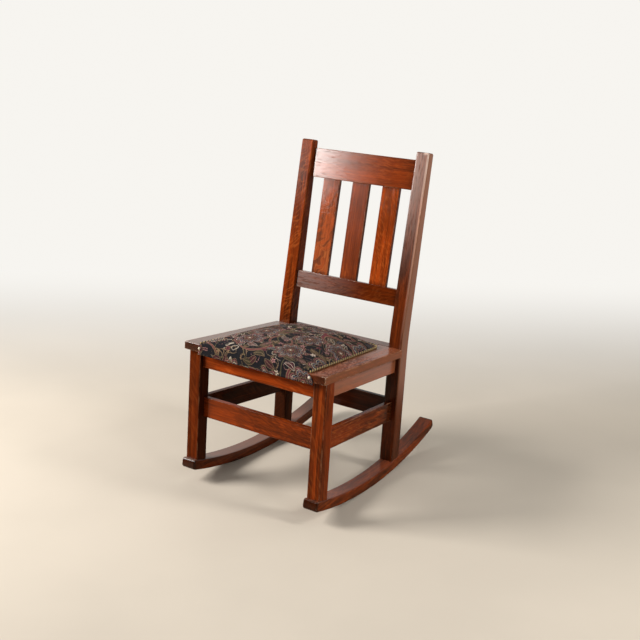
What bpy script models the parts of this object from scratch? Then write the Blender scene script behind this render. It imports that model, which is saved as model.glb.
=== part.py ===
# Sewing rocking chair: an armless oak rocker with a three-slat back and an upholstered seat.
# Sizes are in metres and angles in degrees. x runs across the chair, y from front to back, z up.
# Pieces are drawn in a frame that is level with the seat. Its origin is on the centre line, at the
# underside of the seat boards, in the plane of the front legs' front faces. The whole frame is
# then leaned back to where the chair comes to rest, and stood on the floor.

import math

import bmesh
import bpy
from mathutils import Matrix, Vector

# Fits and finish
GAP = 0.0003                    # between pieces that touch
ARRIS = 0.0016                  # eased edges of rails and slats
LEG_ARRIS = 0.0022
POST_ARRIS = 0.0045             # worn rounder than the rest
ROCKER_ARRIS = 0.0035
BOARD_ARRIS = 0.0022
ARRIS_STEPS = 3
SHARP_ANGLE = 30                # faces that meet at less are shaded as one

# Plan of the frame
FRONT_WIDTH = 0.432             # over the front legs
REAR_WIDTH = 0.408              # over the rear posts
SEAT_DEPTH = 0.366              # front of the front legs to front of the rear posts
LEG_LEAN = 1.3                  # the feet stand back from the leg tops

# Legs and posts
LEG_WIDTH = 0.0372
LEG_DEPTH = 0.0372
FRONT_LEG_LENGTH = 0.304
POST_WIDTH = 0.0400
POST_DEPTH = 0.0390
POST_TOP_DEPTH = 0.0245
POST_RISE = 0.504               # from the bend to the top, along the rake
BEND_HEIGHT = 0.039
BEND_RADIUS = 0.75
BEND_STEPS = 5
BACK_RAKE = 6.2

# Rockers
ROCKER_RADIUS = 1.056           # of the underside
ROCKER_DEPTH = 0.0275
ROCKER_WIDTH = 0.042
ROCKER_OVERHANG = 0.003         # beyond the outer face of the front leg
ROCKER_CENTRE = 0.183           # centre of the arc, behind the front of the legs
ROCKER_NOSE = 0.016             # ahead of the front leg
ROCKER_TAIL = 0.199             # behind the rear post
ROCKER_EASE = 0.006             # rounding of the two ends, above
ROCKER_TOE_EASE = 0.011         # and below
ROCKER_EASE_STEPS = 3
REST_LEAN = 5.45                # seat angle at which the centre of mass is over the contact
FACET = 1.6                     # one flat of the underside; the chair rests on the middle of one

# Seat frame
RAIL_HEIGHT = 0.046
RAIL_THICKNESS = 0.020
FRONT_RAIL_SETBACK = 0.0105
REAR_RAIL_SETBACK = 0.010
SIDE_RAIL_INSET = 0.013

# Stretchers
STRETCHER_DROP = 0.129          # top edge below the seat boards
STRETCHER_HEIGHT = 0.054
REAR_STRETCHER_HEIGHT = 0.058
STRETCHER_THICKNESS = 0.015
FRONT_STRETCHER_SETBACK = 0.0195
REAR_STRETCHER_SETBACK = 0.012
SIDE_STRETCHER_INSET = 0.014

# Tenons; those across the chair take the lower half of a rail, those along it the upper half
TENON_THICKNESS = 0.008
TENON_DEPTH = 0.016
TENON_SHOULDER = 0.004
FOOT_TENON = 0.018
FOOT_TENON_DEPTH = 0.015
COPE_MARGIN = 0.020              # the cut that fits a foot runs past the rocker's sides

# Back
CREST_HEIGHT = 0.080
CREST_DROP = 0.0215             # below the post tops
CREST_THICKNESS = 0.013
CREST_SETBACK = 0.0115
LOWER_RAIL_HEIGHT = 0.047
LOWER_RAIL_LIFT = 0.0905        # lower edge above the bend
LOWER_RAIL_THICKNESS = 0.020
LOWER_RAIL_SETBACK = 0.0065
BACK_TENON_THICKNESS = 0.007
SLAT_NAMES = ("left", "middle", "right")
SLAT_WIDTH = 0.0545
SLAT_THICKNESS = 0.0100
SLAT_SETBACK = 0.0145
SLAT_HOUSING = 0.012

# Seat boards
BOARD_THICKNESS = 0.021
FRONT_OVERHANG = 0.0155
SIDE_OVERHANG = 0.0055
REAR_BOARD_REACH = 0.040        # behind the front of the rear posts
FRONT_BOARD_DEPTH = 0.070
BOARD_LAP = 0.016               # board under the pad, inside the cord

# Upholstery
CORD_RADIUS = 0.0025
BORDER_FRONT = 0.049            # board outside the cord at the front edge
BORDER_REAR = 0.0583            # the same, where the side lines meet the rear line
CORD_REAR_MARGIN = 0.023        # from the rear run of the cord to the front of the rear posts
CORD_CORNER = 0.030
CORNER_STEPS = 6
COVER_THICKNESS = 0.0025
CROWN = 0.032                   # height of the pad over the boards
FRONT_CROWN = 0.022             # height where it rolls over the front edge
FRONT_ROLL = 0.026
SIDE_POWER = 3                  # higher makes the pad's sides steeper
REAR_POWER = 4                  # the same for its rear
APRON_DROP = 0.005              # cover below the boards at the front
STUFFING_INSET = 0.009
STUFFING_SLACK = 0.0015         # under the cover
STRAP_WIDTH = 0.060
STRAP_THICKNESS = 0.0015
STRAP_LAP = 0.007               # on the boards at each end
STRAP_COUNT = 3
STRAP_EDGE = 0.020              # from the side of the seat's opening to the outermost strap
HESSIAN_THICKNESS = 0.001
HESSIAN_CORNER = 0.050
COVER_COLUMNS = 16
CROWN_ROWS = 12
ROLL_ROWS = 4

# Corner blocks and fixings
BLOCK_LENGTH = 0.040
BLOCK_HEIGHT = 0.030
BLOCK_RELIEF = 0.003            # clear of the leg's inner corner
SCREW_SIDES = 12
SHANK_RADIUS = 0.0022
HEAD_RADIUS = 0.0044
HEAD_HEIGHT = 0.0026
HEAD_RIM = 0.0006
BLOCK_SCREW_LENGTH = 0.042
ROCKER_SCREW_LENGTH = 0.046
SCREW_SINK = 0.003              # head below the surface of the rocker
NAIL_HEAD_RADIUS = 0.0037
NAIL_HEAD_HEIGHT = 0.0022
NAIL_SHANK_RADIUS = 0.0009
NAIL_LENGTH = 0.014
NAIL_HEIGHT = 0.0115            # above the underside of the boards
NAIL_DOME_STEPS = 4
NAIL_INSET_LEFT = 0.0035        # from the cord's line into the cover's corner
NAIL_INSET_RIGHT = -0.0030      # driven a little outside the line

SIDES = (("left", -1), ("right", 1))

# Lines that several pieces share
lean_slope = math.tan(math.radians(LEG_LEAN))
taper = (FRONT_WIDTH - REAR_WIDTH) / 2 / SEAT_DEPTH
cord_rear = SEAT_DEPTH - CORD_REAR_MARGIN
leg_inner = FRONT_WIDTH / 2 - LEG_WIDTH
post_inner = REAR_WIDTH / 2 - POST_WIDTH
rocker_top_radius = ROCKER_RADIUS - ROCKER_DEPTH


def at(bound, t):
    return bound(t) if callable(bound) else bound


def leg_face(offset):
    # y of a face that leans with the legs, as a function of z
    return lambda z: offset - lean_slope * z


def side_face(offset):
    # x of a face that follows the taper of the sides, as a function of y
    return lambda y: offset - taper * y


def cord_line(offset=0.0):
    # x of the cord's side run, moved outward by offset, as a function of y
    return lambda y: cord_front_half + offset - cord_taper * (y + FRONT_OVERHANG)


def mirrored(bound, side):
    return lambda t: side * at(bound, t)


def moved(bound, distance):
    return lambda t: at(bound, t) + distance


def grown(bounds, distance):
    low, high = bounds
    if at(low, 0.0) > at(high, 0.0):
        low, high = high, low
    return moved(low, -distance), moved(high, distance)


def rocker_height(y, radius):
    return rocker_centre_z - math.sqrt(radius ** 2 - (y - ROCKER_CENTRE) ** 2)


# The arc's centre is set by the length of the front legs
front_foot_y = leg_face(LEG_DEPTH / 2)(-FRONT_LEG_LENGTH)
rocker_centre_z = math.sqrt(rocker_top_radius ** 2 - (front_foot_y - ROCKER_CENTRE) ** 2) - FRONT_LEG_LENGTH

# The cord keeps its borders to the sides of the seat boards
board_edge = side_face(FRONT_WIDTH / 2 + SIDE_OVERHANG)
cord_front_half = board_edge(-FRONT_OVERHANG) - BORDER_FRONT
cord_taper = (cord_front_half - board_edge(cord_rear) + BORDER_REAR) / (cord_rear + FRONT_OVERHANG)


def finish(name, colour, roughness, metallic=0.0):
    material = bpy.data.materials.new(name)
    material.use_nodes = True
    shader = material.node_tree.nodes["Principled BSDF"]
    shader.inputs["Base Color"].default_value = (*colour, 1.0)
    shader.inputs["Roughness"].default_value = roughness
    shader.inputs["Metallic"].default_value = metallic
    material.diffuse_color = (*colour, 1.0)
    return material


def add_object(name, bm, parent, material=None):
    bmesh.ops.recalc_face_normals(bm, faces=bm.faces)
    corners = [vert.co for vert in bm.verts]
    low = Vector(min(c[i] for c in corners) for i in range(3))
    high = Vector(max(c[i] for c in corners) for i in range(3))
    centre = (low + high) / 2
    bmesh.ops.translate(bm, verts=bm.verts, vec=-centre)
    mesh = bpy.data.meshes.new(name)
    bm.to_mesh(mesh)
    bm.free()
    mesh.shade_smooth()
    mesh.set_sharp_from_angle(angle=math.radians(SHARP_ANGLE))
    piece = bpy.data.objects.new(name, mesh)
    piece.location = centre
    piece.parent = parent
    bpy.context.collection.objects.link(piece)
    if material:
        mesh.materials.append(material)
    else:
        piece.hide_render = True
        piece.display_type = "WIRE"
    return piece


def combine(piece, tool, operation):
    modifier = piece.modifiers.new(tool.name, "BOOLEAN")
    modifier.operation = operation
    modifier.solver = "EXACT"
    modifier.object = tool


def ease(bm, edges, radius):
    if edges:
        bmesh.ops.bevel(bm, geom=edges, offset=radius, offset_type="OFFSET", segments=ARRIS_STEPS,
                        profile=0.5, affect="EDGES", clamp_overlap=True)


def block(xs, ys, zs, eased="", radius=ARRIS):
    # Six-sided block; x bounds may follow y, and y bounds may follow z. The edges that run along
    # the axes named in eased are rounded.
    bm = bmesh.new()
    corner = {}
    for k, z in enumerate(zs):
        for j, y_bound in enumerate(ys):
            y = at(y_bound, z)
            for i, x_bound in enumerate(xs):
                corner[i, j, k] = bm.verts.new((at(x_bound, y), y, z))
    for axis in range(3):
        for end in (0, 1):
            ring = []
            for a, b in ((0, 0), (0, 1), (1, 1), (1, 0)):
                index = [a, b]
                index.insert(axis, end)
                ring.append(corner[tuple(index)])
            bm.faces.new(ring)
    chosen = []
    for axis in range(3):
        if "xyz"[axis] not in eased:
            continue
        for a in (0, 1):
            for b in (0, 1):
                ends = []
                for end in (0, 1):
                    index = [a, b]
                    index.insert(axis, end)
                    ends.append(corner[tuple(index)])
                chosen.append(bm.edges.get(ends))
    bmesh.ops.recalc_face_normals(bm, faces=bm.faces)
    ease(bm, chosen, radius)
    return bm


def prism(outline, place, radius=0.0):
    # Solid between two copies of an outline; place(point, end) gives a corner's position. The
    # edges round both ends are rounded if they have a radius.
    bm = bmesh.new()
    loops = [[bm.verts.new(place(point, end)) for point in outline] for end in (0, 1)]
    caps = [bm.faces.new(loop) for loop in loops]
    count = len(outline)
    for i in range(count):
        j = (i + 1) % count
        bm.faces.new((loops[0][i], loops[0][j], loops[1][j], loops[1][i]))
    bmesh.ops.recalc_face_normals(bm, faces=bm.faces)
    if radius:
        ease(bm, [edge for cap in caps for edge in cap.edges], radius)
    return bm


def across(xs):
    # Places an outline of (y, z) points between two x bounds
    return lambda point, end: (at(xs[end], point[0]), point[0], point[1])


def upright(zs):
    # Places an outline of (x, y) points between two heights
    return lambda point, end: (point[0], point[1], zs[end])


def fillet(before, corner, after, radius, steps):
    # Points of an arc that rounds a corner of an outline
    corner = Vector(corner)
    back = (Vector(before) - corner).normalized()
    ahead = (Vector(after) - corner).normalized()
    half = back.angle(ahead) / 2
    reach = radius / math.tan(half)
    centre = corner + (back + ahead).normalized() * (radius / math.sin(half))
    start = corner + back * reach - centre
    turn = start.angle_signed(corner + ahead * reach - centre)
    points = []
    for step in range(steps + 1):
        spoke = start.copy()
        spoke.rotate(Matrix.Rotation(-turn * step / steps, 2))
        points.append(tuple(centre + spoke))
    return points


def tenons(rail, legs, parent, xs, ys, zs):
    # A tongue through the rail that stands out at both ends, and its mortises in the legs
    tongue = add_object("tongue_" + rail.name, block(xs, ys, zs), parent)
    combine(rail, tongue, "UNION")
    low, high = grown(zs, GAP)
    mortise = block(grown(xs, GAP), grown(ys, GAP), (low(0.0), high(0.0)))
    cutter = add_object("mortises_" + rail.name, mortise, parent)
    for leg in legs:
        combine(leg, cutter, "DIFFERENCE")


def centred(bounds, thickness):
    # Bounds of a tongue in the middle of a rail's thickness
    low, high = bounds
    middle = lambda t: (at(low, t) + at(high, t)) / 2
    return moved(middle, -thickness / 2), moved(middle, thickness / 2)


def lower_half(zs):
    return zs[0] + TENON_SHOULDER, (zs[0] + zs[1] - TENON_SHOULDER) / 2


def upper_half(zs):
    return (zs[0] + zs[1] + TENON_SHOULDER) / 2, zs[1] - TENON_SHOULDER


def rocker_outline(top_radius, ends):
    # Closed outline in (y, z): the underside in flats from front to rear, then the top
    first, last = ends
    below = math.floor((REST_LEAN - first) / FACET - 0.5)
    above = math.floor((last - REST_LEAN) / FACET - 0.5)
    joints = [REST_LEAN + (k + 0.5) * FACET for k in range(-below - 1, above + 1)]
    angles = [first] + [a for a in joints if first + FACET / 2 < a < last - FACET / 2] + [last]

    def point(radius, angle):
        return (ROCKER_CENTRE + radius * math.sin(math.radians(angle)),
                rocker_centre_z - radius * math.cos(math.radians(angle)))

    under = [point(ROCKER_RADIUS, a) for a in angles]
    over = [point(top_radius, a) for a in reversed(angles)]
    loop = under + over
    ease = {0: ROCKER_TOE_EASE, len(under) - 1: ROCKER_TOE_EASE,
            len(under): ROCKER_EASE, len(loop) - 1: ROCKER_EASE}
    outline = []
    for i, spot in enumerate(loop):
        if i in ease:
            outline += fillet(loop[i - 1], spot, loop[(i + 1) % len(loop)], ease[i],
                              ROCKER_EASE_STEPS)
        else:
            outline.append(spot)
    return outline


def rocker_ends():
    # Angles of the nose and the tail about the arc's centre
    nose = leg_face(-ROCKER_NOSE)(-FRONT_LEG_LENGTH)
    tail = leg_face(SEAT_DEPTH + POST_DEPTH + ROCKER_TAIL)(-FRONT_LEG_LENGTH)
    return [math.degrees(math.asin((y - ROCKER_CENTRE) / ROCKER_RADIUS)) for y in (nose, tail)]


def rocker_sides(side, margin=0.0):
    outer = FRONT_WIDTH / 2 + ROCKER_OVERHANG + margin
    inner = outer - ROCKER_WIDTH - 2 * margin
    return mirrored(side_face(inner), side), mirrored(side_face(outer), side)


def add_rocker(label, side):
    outline = rocker_outline(rocker_top_radius, rocker_ends())
    bm = prism(outline, across(rocker_sides(side)), ROCKER_ARRIS)
    return add_object("rocker_" + label, bm, rest, oak)


def stand_on_rocker(leg, rocker, side, xs, ys, middle_y):
    # Fits a leg's foot to the top of the rocker and tenons it in
    cope = prism(rocker_outline(rocker_top_radius - GAP, rocker_ends()),
                 across(rocker_sides(side, COPE_MARGIN)))
    combine(leg, add_object("cope_" + leg.name, cope, rest), "DIFFERENCE")
    top = rocker_height(middle_y, rocker_top_radius)
    zs = (top - FOOT_TENON_DEPTH, top + FOOT_TENON_DEPTH)
    tongue_x, tongue_y = centred(xs, FOOT_TENON), centred(ys, FOOT_TENON)
    combine(leg, add_object("foot_" + leg.name, block(tongue_x, tongue_y, zs), rest), "UNION")
    hole = block(grown(tongue_x, GAP), grown(tongue_y, GAP), (zs[0] - GAP, zs[1]))
    combine(rocker, add_object("socket_" + leg.name, hole, rest), "DIFFERENCE")
    add_rocker_screw(leg, rocker, xs, ys, middle_y)


def foot_level(y):
    # Level inside the rocker where the uncut leg ends
    return rocker_height(y, rocker_top_radius) - ROCKER_DEPTH / 2


def add_front_leg(label, side, rocker):
    xs = (side * leg_inner, side * FRONT_WIDTH / 2)
    ys = (leg_face(0.0), leg_face(LEG_DEPTH))
    bm = block(xs, ys, (foot_level(front_foot_y), -GAP), "z", LEG_ARRIS)
    leg = add_object("front_leg_" + label, bm, rest, oak)
    stand_on_rocker(leg, rocker, side, xs, ys, front_foot_y)
    return leg


def post_outline(foot):
    # The rear post from the side, in (y, z): straight below the bend, tapered above it
    rake = math.radians(BACK_RAKE)
    up, back = Vector((math.sin(rake), math.cos(rake))), Vector((math.cos(rake), -math.sin(rake)))
    front, rear = leg_face(SEAT_DEPTH), leg_face(SEAT_DEPTH + POST_DEPTH)
    bend_front = Vector((front(BEND_HEIGHT), BEND_HEIGHT))
    bend_rear = Vector((rear(BEND_HEIGHT), BEND_HEIGHT))
    top_front = bend_front + up * POST_RISE
    top_rear = top_front + back * POST_TOP_DEPTH
    foot_front, foot_rear = (front(foot), foot), (rear(foot), foot)
    inside = fillet(foot_rear, bend_rear, top_rear, BEND_RADIUS, BEND_STEPS)
    outside = fillet(top_front, bend_front, foot_front, BEND_RADIUS + POST_DEPTH, BEND_STEPS)
    top = fillet(bend_rear, top_rear, top_front, POST_ARRIS, ARRIS_STEPS) \
        + fillet(top_rear, top_front, bend_front, POST_ARRIS, ARRIS_STEPS)
    return [foot_rear] + inside + top + outside + [foot_front]


def add_rear_post(label, side, rocker):
    xs = (side * post_inner, side * REAR_WIDTH / 2)
    middle_y = leg_face(SEAT_DEPTH + POST_DEPTH / 2)(-FRONT_LEG_LENGTH)
    bm = prism(post_outline(foot_level(middle_y)), across(xs), POST_ARRIS)
    post = add_object("rear_post_" + label, bm, rest, oak)
    ys = (leg_face(SEAT_DEPTH), leg_face(SEAT_DEPTH + POST_DEPTH))
    stand_on_rocker(post, rocker, side, xs, ys, middle_y)
    return post


def add_cross_rail(name, legs, inner, setback, thickness, zs):
    # A rail or stretcher across the chair, between two legs or two posts
    ys = (leg_face(setback), leg_face(setback + thickness))
    bm = block((-inner + GAP, inner - GAP), ys, zs, eased="x")
    rail = add_object(name, bm, rest, oak)
    reach = inner + TENON_DEPTH
    tenons(rail, legs, rest, (-reach, reach), centred(ys, TENON_THICKNESS), lower_half(zs))


def add_side_rail(name, side, legs, inset, thickness, zs):
    # A rail or stretcher along one side, from the front leg to the rear post
    outer = side_face(FRONT_WIDTH / 2 - inset)
    xs = (mirrored(moved(outer, -thickness), side), mirrored(outer, side))
    ys = (leg_face(LEG_DEPTH + GAP), leg_face(SEAT_DEPTH - GAP))
    rail = add_object(name, block(xs, ys, zs, eased="y"), rest, oak)
    reach = (leg_face(LEG_DEPTH - TENON_DEPTH), leg_face(SEAT_DEPTH + TENON_DEPTH))
    tenons(rail, legs, rest, centred(xs, TENON_THICKNESS), reach, upper_half(zs))


def add_rails(front_legs, rear_posts):
    rail_zs = (-RAIL_HEIGHT, -GAP)
    add_cross_rail("front_seat_rail", front_legs, leg_inner, FRONT_RAIL_SETBACK, RAIL_THICKNESS, rail_zs)
    add_cross_rail("rear_seat_rail", rear_posts, post_inner, SEAT_DEPTH + REAR_RAIL_SETBACK,
                   RAIL_THICKNESS, rail_zs)
    low = -STRETCHER_DROP - STRETCHER_HEIGHT
    stretcher_zs = (low, -STRETCHER_DROP)
    add_cross_rail("front_stretcher", front_legs, leg_inner, FRONT_STRETCHER_SETBACK,
                   STRETCHER_THICKNESS, stretcher_zs)
    add_cross_rail("rear_stretcher", rear_posts, post_inner, SEAT_DEPTH + REAR_STRETCHER_SETBACK,
                   STRETCHER_THICKNESS, (low, low + REAR_STRETCHER_HEIGHT))
    for index, (label, side) in enumerate(SIDES):
        legs = (front_legs[index], rear_posts[index])
        add_side_rail(label + "_seat_rail", side, legs, SIDE_RAIL_INSET, RAIL_THICKNESS, rail_zs)
        add_side_rail(label + "_stretcher", side, legs, SIDE_STRETCHER_INSET, STRETCHER_THICKNESS,
                      stretcher_zs)


def add_back_rail(name, posts, setback, thickness, zs):
    ys = (setback, setback + thickness)
    rail = add_object(name, block((-post_inner + GAP, post_inner - GAP), ys, zs, eased="x"), back, oak)
    reach = post_inner + TENON_DEPTH
    tongue_zs = (zs[0] + TENON_SHOULDER, zs[1] - TENON_SHOULDER)
    tenons(rail, posts, back, (-reach, reach), centred(ys, BACK_TENON_THICKNESS), tongue_zs)
    return rail


def add_back(posts):
    crest_zs = (POST_RISE - CREST_DROP - CREST_HEIGHT, POST_RISE - CREST_DROP)
    lower_zs = (LOWER_RAIL_LIFT, LOWER_RAIL_LIFT + LOWER_RAIL_HEIGHT)
    crest = add_back_rail("crest_rail", posts, CREST_SETBACK, CREST_THICKNESS, crest_zs)
    lower = add_back_rail("lower_back_rail", posts, LOWER_RAIL_SETBACK, LOWER_RAIL_THICKNESS, lower_zs)
    opening = (2 * post_inner - len(SLAT_NAMES) * SLAT_WIDTH) / (len(SLAT_NAMES) + 1)
    ys = (SLAT_SETBACK, SLAT_SETBACK + SLAT_THICKNESS)
    zs = (lower_zs[1] - SLAT_HOUSING, crest_zs[0] + SLAT_HOUSING)
    for index, label in enumerate(SLAT_NAMES):
        start = -post_inner + opening + index * (SLAT_WIDTH + opening)
        xs = (start, start + SLAT_WIDTH)
        slat = add_object("back_slat_" + label, block(xs, ys, zs, eased="z"), back, oak)
        hole = block(grown(xs, GAP), grown(ys, GAP), (zs[0] - GAP, zs[1] + GAP))
        cutter = add_object("housing_" + slat.name, hole, back)
        combine(crest, cutter, "DIFFERENCE")
        combine(lower, cutter, "DIFFERENCE")


def add_seat_boards():
    zs = (0.0, BOARD_THICKNESS)
    inner = cord_line(-BOARD_LAP)
    boards = {}
    for label, side in SIDES:
        outer = side_face(FRONT_WIDTH / 2 + SIDE_OVERHANG)
        xs = (mirrored(inner, side), mirrored(outer, side))
        ys = (-FRONT_OVERHANG, leg_face(SEAT_DEPTH - GAP))
        boards[label] = add_object("seat_board_" + label, block(xs, ys, zs, "xyz", BOARD_ARRIS), rest, oak)
    between = moved(inner, -GAP)
    front_xs = (mirrored(between, -1), between)
    front_ys = (-FRONT_OVERHANG + COVER_THICKNESS + GAP, FRONT_BOARD_DEPTH)
    add_object("seat_board_front", block(front_xs, front_ys, zs, eased="x"), rest, oak)
    add_object("seat_board_rear", prism(rear_board_outline(between), upright(zs), ARRIS), rest, oak)
    return boards


def rear_board_outline(between):
    # The rear board in plan: narrow between the side boards, full width between the posts
    front = cord_rear - BOARD_LAP
    step = SEAT_DEPTH + GAP
    rear = SEAT_DEPTH + REAR_BOARD_REACH
    wide = post_inner - GAP
    half = [(between(front), front), (between(step), step), (wide, step), (wide, rear)]
    return half + [(-x, y) for x, y in reversed(half)]


def add_turned(name, profile, base, axis, parent, material=None):
    # A round piece: profile holds (distance along the axis, radius) pairs, with closed ends
    bm = bmesh.new()
    turn = Vector((0, 0, 1)).rotation_difference(Vector(axis).normalized())
    rings = []
    for along, radius in profile:
        ring = []
        for k in range(SCREW_SIDES):
            angle = 2 * math.pi * k / SCREW_SIDES
            spot = Vector((radius * math.cos(angle), radius * math.sin(angle), along))
            ring.append(bm.verts.new(Vector(base) + turn @ spot))
        rings.append(ring)
    for ring, following in zip(rings, rings[1:]):
        for k in range(SCREW_SIDES):
            j = (k + 1) % SCREW_SIDES
            bm.faces.new((ring[k], ring[j], following[j], following[k]))
    bm.faces.new(rings[0])
    bm.faces.new(rings[-1])
    return add_object(name, bm, parent, material)


def screw_profile(length, spare=0.0, mouth=0.0):
    # Countersunk screw from its head; spare widens it for its hole, mouth opens the hole
    return [(-mouth, HEAD_RADIUS + spare), (HEAD_RIM, HEAD_RADIUS + spare),
            (HEAD_HEIGHT, SHANK_RADIUS + spare), (length + spare, SHANK_RADIUS + spare)]


def add_screw(name, base, axis, length, pieces):
    add_turned(name, screw_profile(length), base, axis, rest, steel)
    hole = add_turned("hole_" + name, screw_profile(length, GAP, 2 * SCREW_SINK), base, axis, rest)
    for piece in pieces:
        combine(piece, hole, "DIFFERENCE")


def add_rocker_screw(leg, rocker, xs, ys, middle_y):
    # Up through the rocker into the foot, along the leg
    axis = Vector((0.0, -lean_slope, 1.0)).normalized()
    x = (xs[0] + xs[1]) / 2
    under = rocker_height(middle_y, ROCKER_RADIUS)
    y = (at(ys[0], under) + at(ys[1], under)) / 2
    base = Vector((x, y, rocker_height(y, ROCKER_RADIUS))) + axis * SCREW_SINK
    add_screw("rocker_screw_" + leg.name, base, axis, ROCKER_SCREW_LENGTH, (rocker, leg))


def add_corner_block(name, side, corner_x, corner_y, rail_y, toward, board):
    # Five-sided glue block between a cross rail and a side rail, clear of the leg's corner;
    # toward is +1 at the front corners, where the block reaches back, and -1 at the rear ones
    rail_x = side_face(FRONT_WIDTH / 2 - SIDE_RAIL_INSET - RAIL_THICKNESS - GAP)
    start_x = corner_x - BLOCK_RELIEF
    start_y = corner_y + toward * BLOCK_RELIEF
    far_y = start_y + toward * BLOCK_LENGTH
    outline = [(start_x, rail_y), (start_x, start_y), (rail_x(start_y), start_y),
               (rail_x(far_y), far_y), (start_x - BLOCK_LENGTH, rail_y)]
    outline = [(side * x, y) for x, y in outline]
    zs = (-BLOCK_HEIGHT, -GAP)
    piece = add_object(name, prism(outline, upright(zs)), rest, blockwood)
    spot_y = start_y + toward * BLOCK_LENGTH / 4
    spot_x = cord_line(-BOARD_LAP / 2)(spot_y)
    base = (side * spot_x, spot_y, -BLOCK_HEIGHT + GAP)
    add_screw("block_screw_" + name.removeprefix("corner_block_"), base, (0, 0, 1),
              BLOCK_SCREW_LENGTH, (piece, board))


def add_corner_blocks(boards):
    front_rail = leg_face(FRONT_RAIL_SETBACK + RAIL_THICKNESS + GAP)(-BLOCK_HEIGHT)
    rear_rail = leg_face(SEAT_DEPTH + REAR_RAIL_SETBACK - GAP)(0.0)
    leg_back = leg_face(LEG_DEPTH)(-BLOCK_HEIGHT)
    post_front = leg_face(SEAT_DEPTH)(0.0)
    for label, side in SIDES:
        board = boards[label]
        add_corner_block("corner_block_front_" + label, side, leg_inner, leg_back, front_rail, 1, board)
        add_corner_block("corner_block_rear_" + label, side, post_inner, post_front, rear_rail, -1, board)


def cover_half_width(y, inset):
    # Half the pad's width at y, with rounded rear corners
    straight = cord_line(-CORD_RADIUS - GAP - inset)(y)
    radius = CORD_CORNER - CORD_RADIUS - GAP - inset
    past = y - (cord_rear - CORD_CORNER)
    if past <= 0:
        return straight
    return straight - radius + math.sqrt(max(radius ** 2 - past ** 2, 0.0))


def cover_rows(inset, base, height, apron):
    # Rows of points over the pad, from the front to the rear: the apron in front of the seat,
    # the roll over the front edge, and the crown
    front = -FRONT_OVERHANG + inset
    rear = cord_rear - CORD_RADIUS - GAP - inset
    start = front + FRONT_ROLL
    crest = (start + rear) / 2
    front_height = height - (CROWN - FRONT_CROWN)
    apron_half = cord_line(-BOARD_LAP - 2 * GAP - inset)(-FRONT_OVERHANG)
    across_steps = [math.sin(math.pi * (k / COVER_COLUMNS - 0.5)) for k in range(COVER_COLUMNS + 1)]

    def swell(u):
        return math.sqrt(1 - abs(u) ** SIDE_POWER)

    rows = []
    if apron:
        rows.append([(u * apron_half, front, -APRON_DROP) for u in across_steps])
        rows.append([(u * apron_half, front, base) for u in across_steps])
    for step in range(0 if not apron else 1, ROLL_ROWS):
        angle = math.pi / 2 * step / ROLL_ROWS
        y = front + FRONT_ROLL * (1 - math.cos(angle))
        rise = front_height * math.sin(angle)
        half = cover_half_width(y, inset)
        rows.append([(u * half, y, base + rise * swell(u)) for u in across_steps])
    for step in range(CROWN_ROWS + 1):
        y = start + (rear - start) * math.sin(math.pi / 2 * step / CROWN_ROWS)
        if y < crest:
            part = (y - start) / (crest - start)
            rise = front_height + (height - front_height) * math.sin(math.pi / 2 * part)
        else:
            part = (y - crest) / (rear - crest)
            rise = height * math.sqrt(max(1 - part ** REAR_POWER, 0.0))
        half = cover_half_width(y, inset)
        rows.append([(u * half, y, base + rise * swell(u)) for u in across_steps])
    return rows


def add_grid(bm, rows):
    grid = [[bm.verts.new(spot) for spot in row] for row in rows]
    for row, following in zip(grid, grid[1:]):
        for k in range(len(row) - 1):
            bm.faces.new((row[k], row[k + 1], following[k + 1], following[k]))
    return grid


def border(grid):
    # The grid's outer loop of points
    right = [row[-1] for row in grid[1:]]
    left = [row[0] for row in reversed(grid[1:-1])]
    return grid[0] + right + grid[-1][-2::-1] + left


def add_cover():
    # A thin shell over the pad, open underneath
    base = BOARD_THICKNESS + GAP
    bm = bmesh.new()
    outer = border(add_grid(bm, cover_rows(0.0, base, CROWN, True)))
    inner = border(add_grid(bm, cover_rows(COVER_THICKNESS, base, CROWN - COVER_THICKNESS, True)))
    for k in range(len(outer)):
        j = (k + 1) % len(outer)
        bm.faces.new((outer[k], outer[j], inner[j], inner[k]))
    add_object("seat_cover", bm, rest, tapestry)


def add_stuffing(base):
    # The hair pad under the cover, flat below
    height = CROWN - COVER_THICKNESS - STUFFING_SLACK - (base - BOARD_THICKNESS)
    bm = bmesh.new()
    grid = add_grid(bm, cover_rows(COVER_THICKNESS + STUFFING_INSET, base, height, False))
    bm.faces.new(border(grid))
    add_object("seat_stuffing", bm, rest, hair)


def strap_spread(start, end):
    # Centre lines of straps set evenly across the seat's opening
    first = start + STRAP_EDGE + STRAP_WIDTH / 2
    last = end - STRAP_EDGE - STRAP_WIDTH / 2
    return [first + (last - first) * k / (STRAP_COUNT - 1) for k in range(STRAP_COUNT)]


def strap_points(start, end, crossings, first_up, middle):
    # A strap's run (distance along, height): over and under the straps that it crosses
    swing = (STRAP_THICKNESS + GAP) / 2
    run = []
    up = first_up
    for spot in crossings:
        level = middle + (swing if up else -swing)
        run += [(spot - STRAP_WIDTH / 2 - GAP, level), (spot + STRAP_WIDTH / 2 + GAP, level)]
        up = not up
    rest_level = BOARD_THICKNESS + GAP + STRAP_THICKNESS / 2
    return [(start, rest_level), (start + STRAP_LAP, rest_level)] + run \
        + [(end - STRAP_LAP, rest_level), (end, rest_level)]


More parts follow.
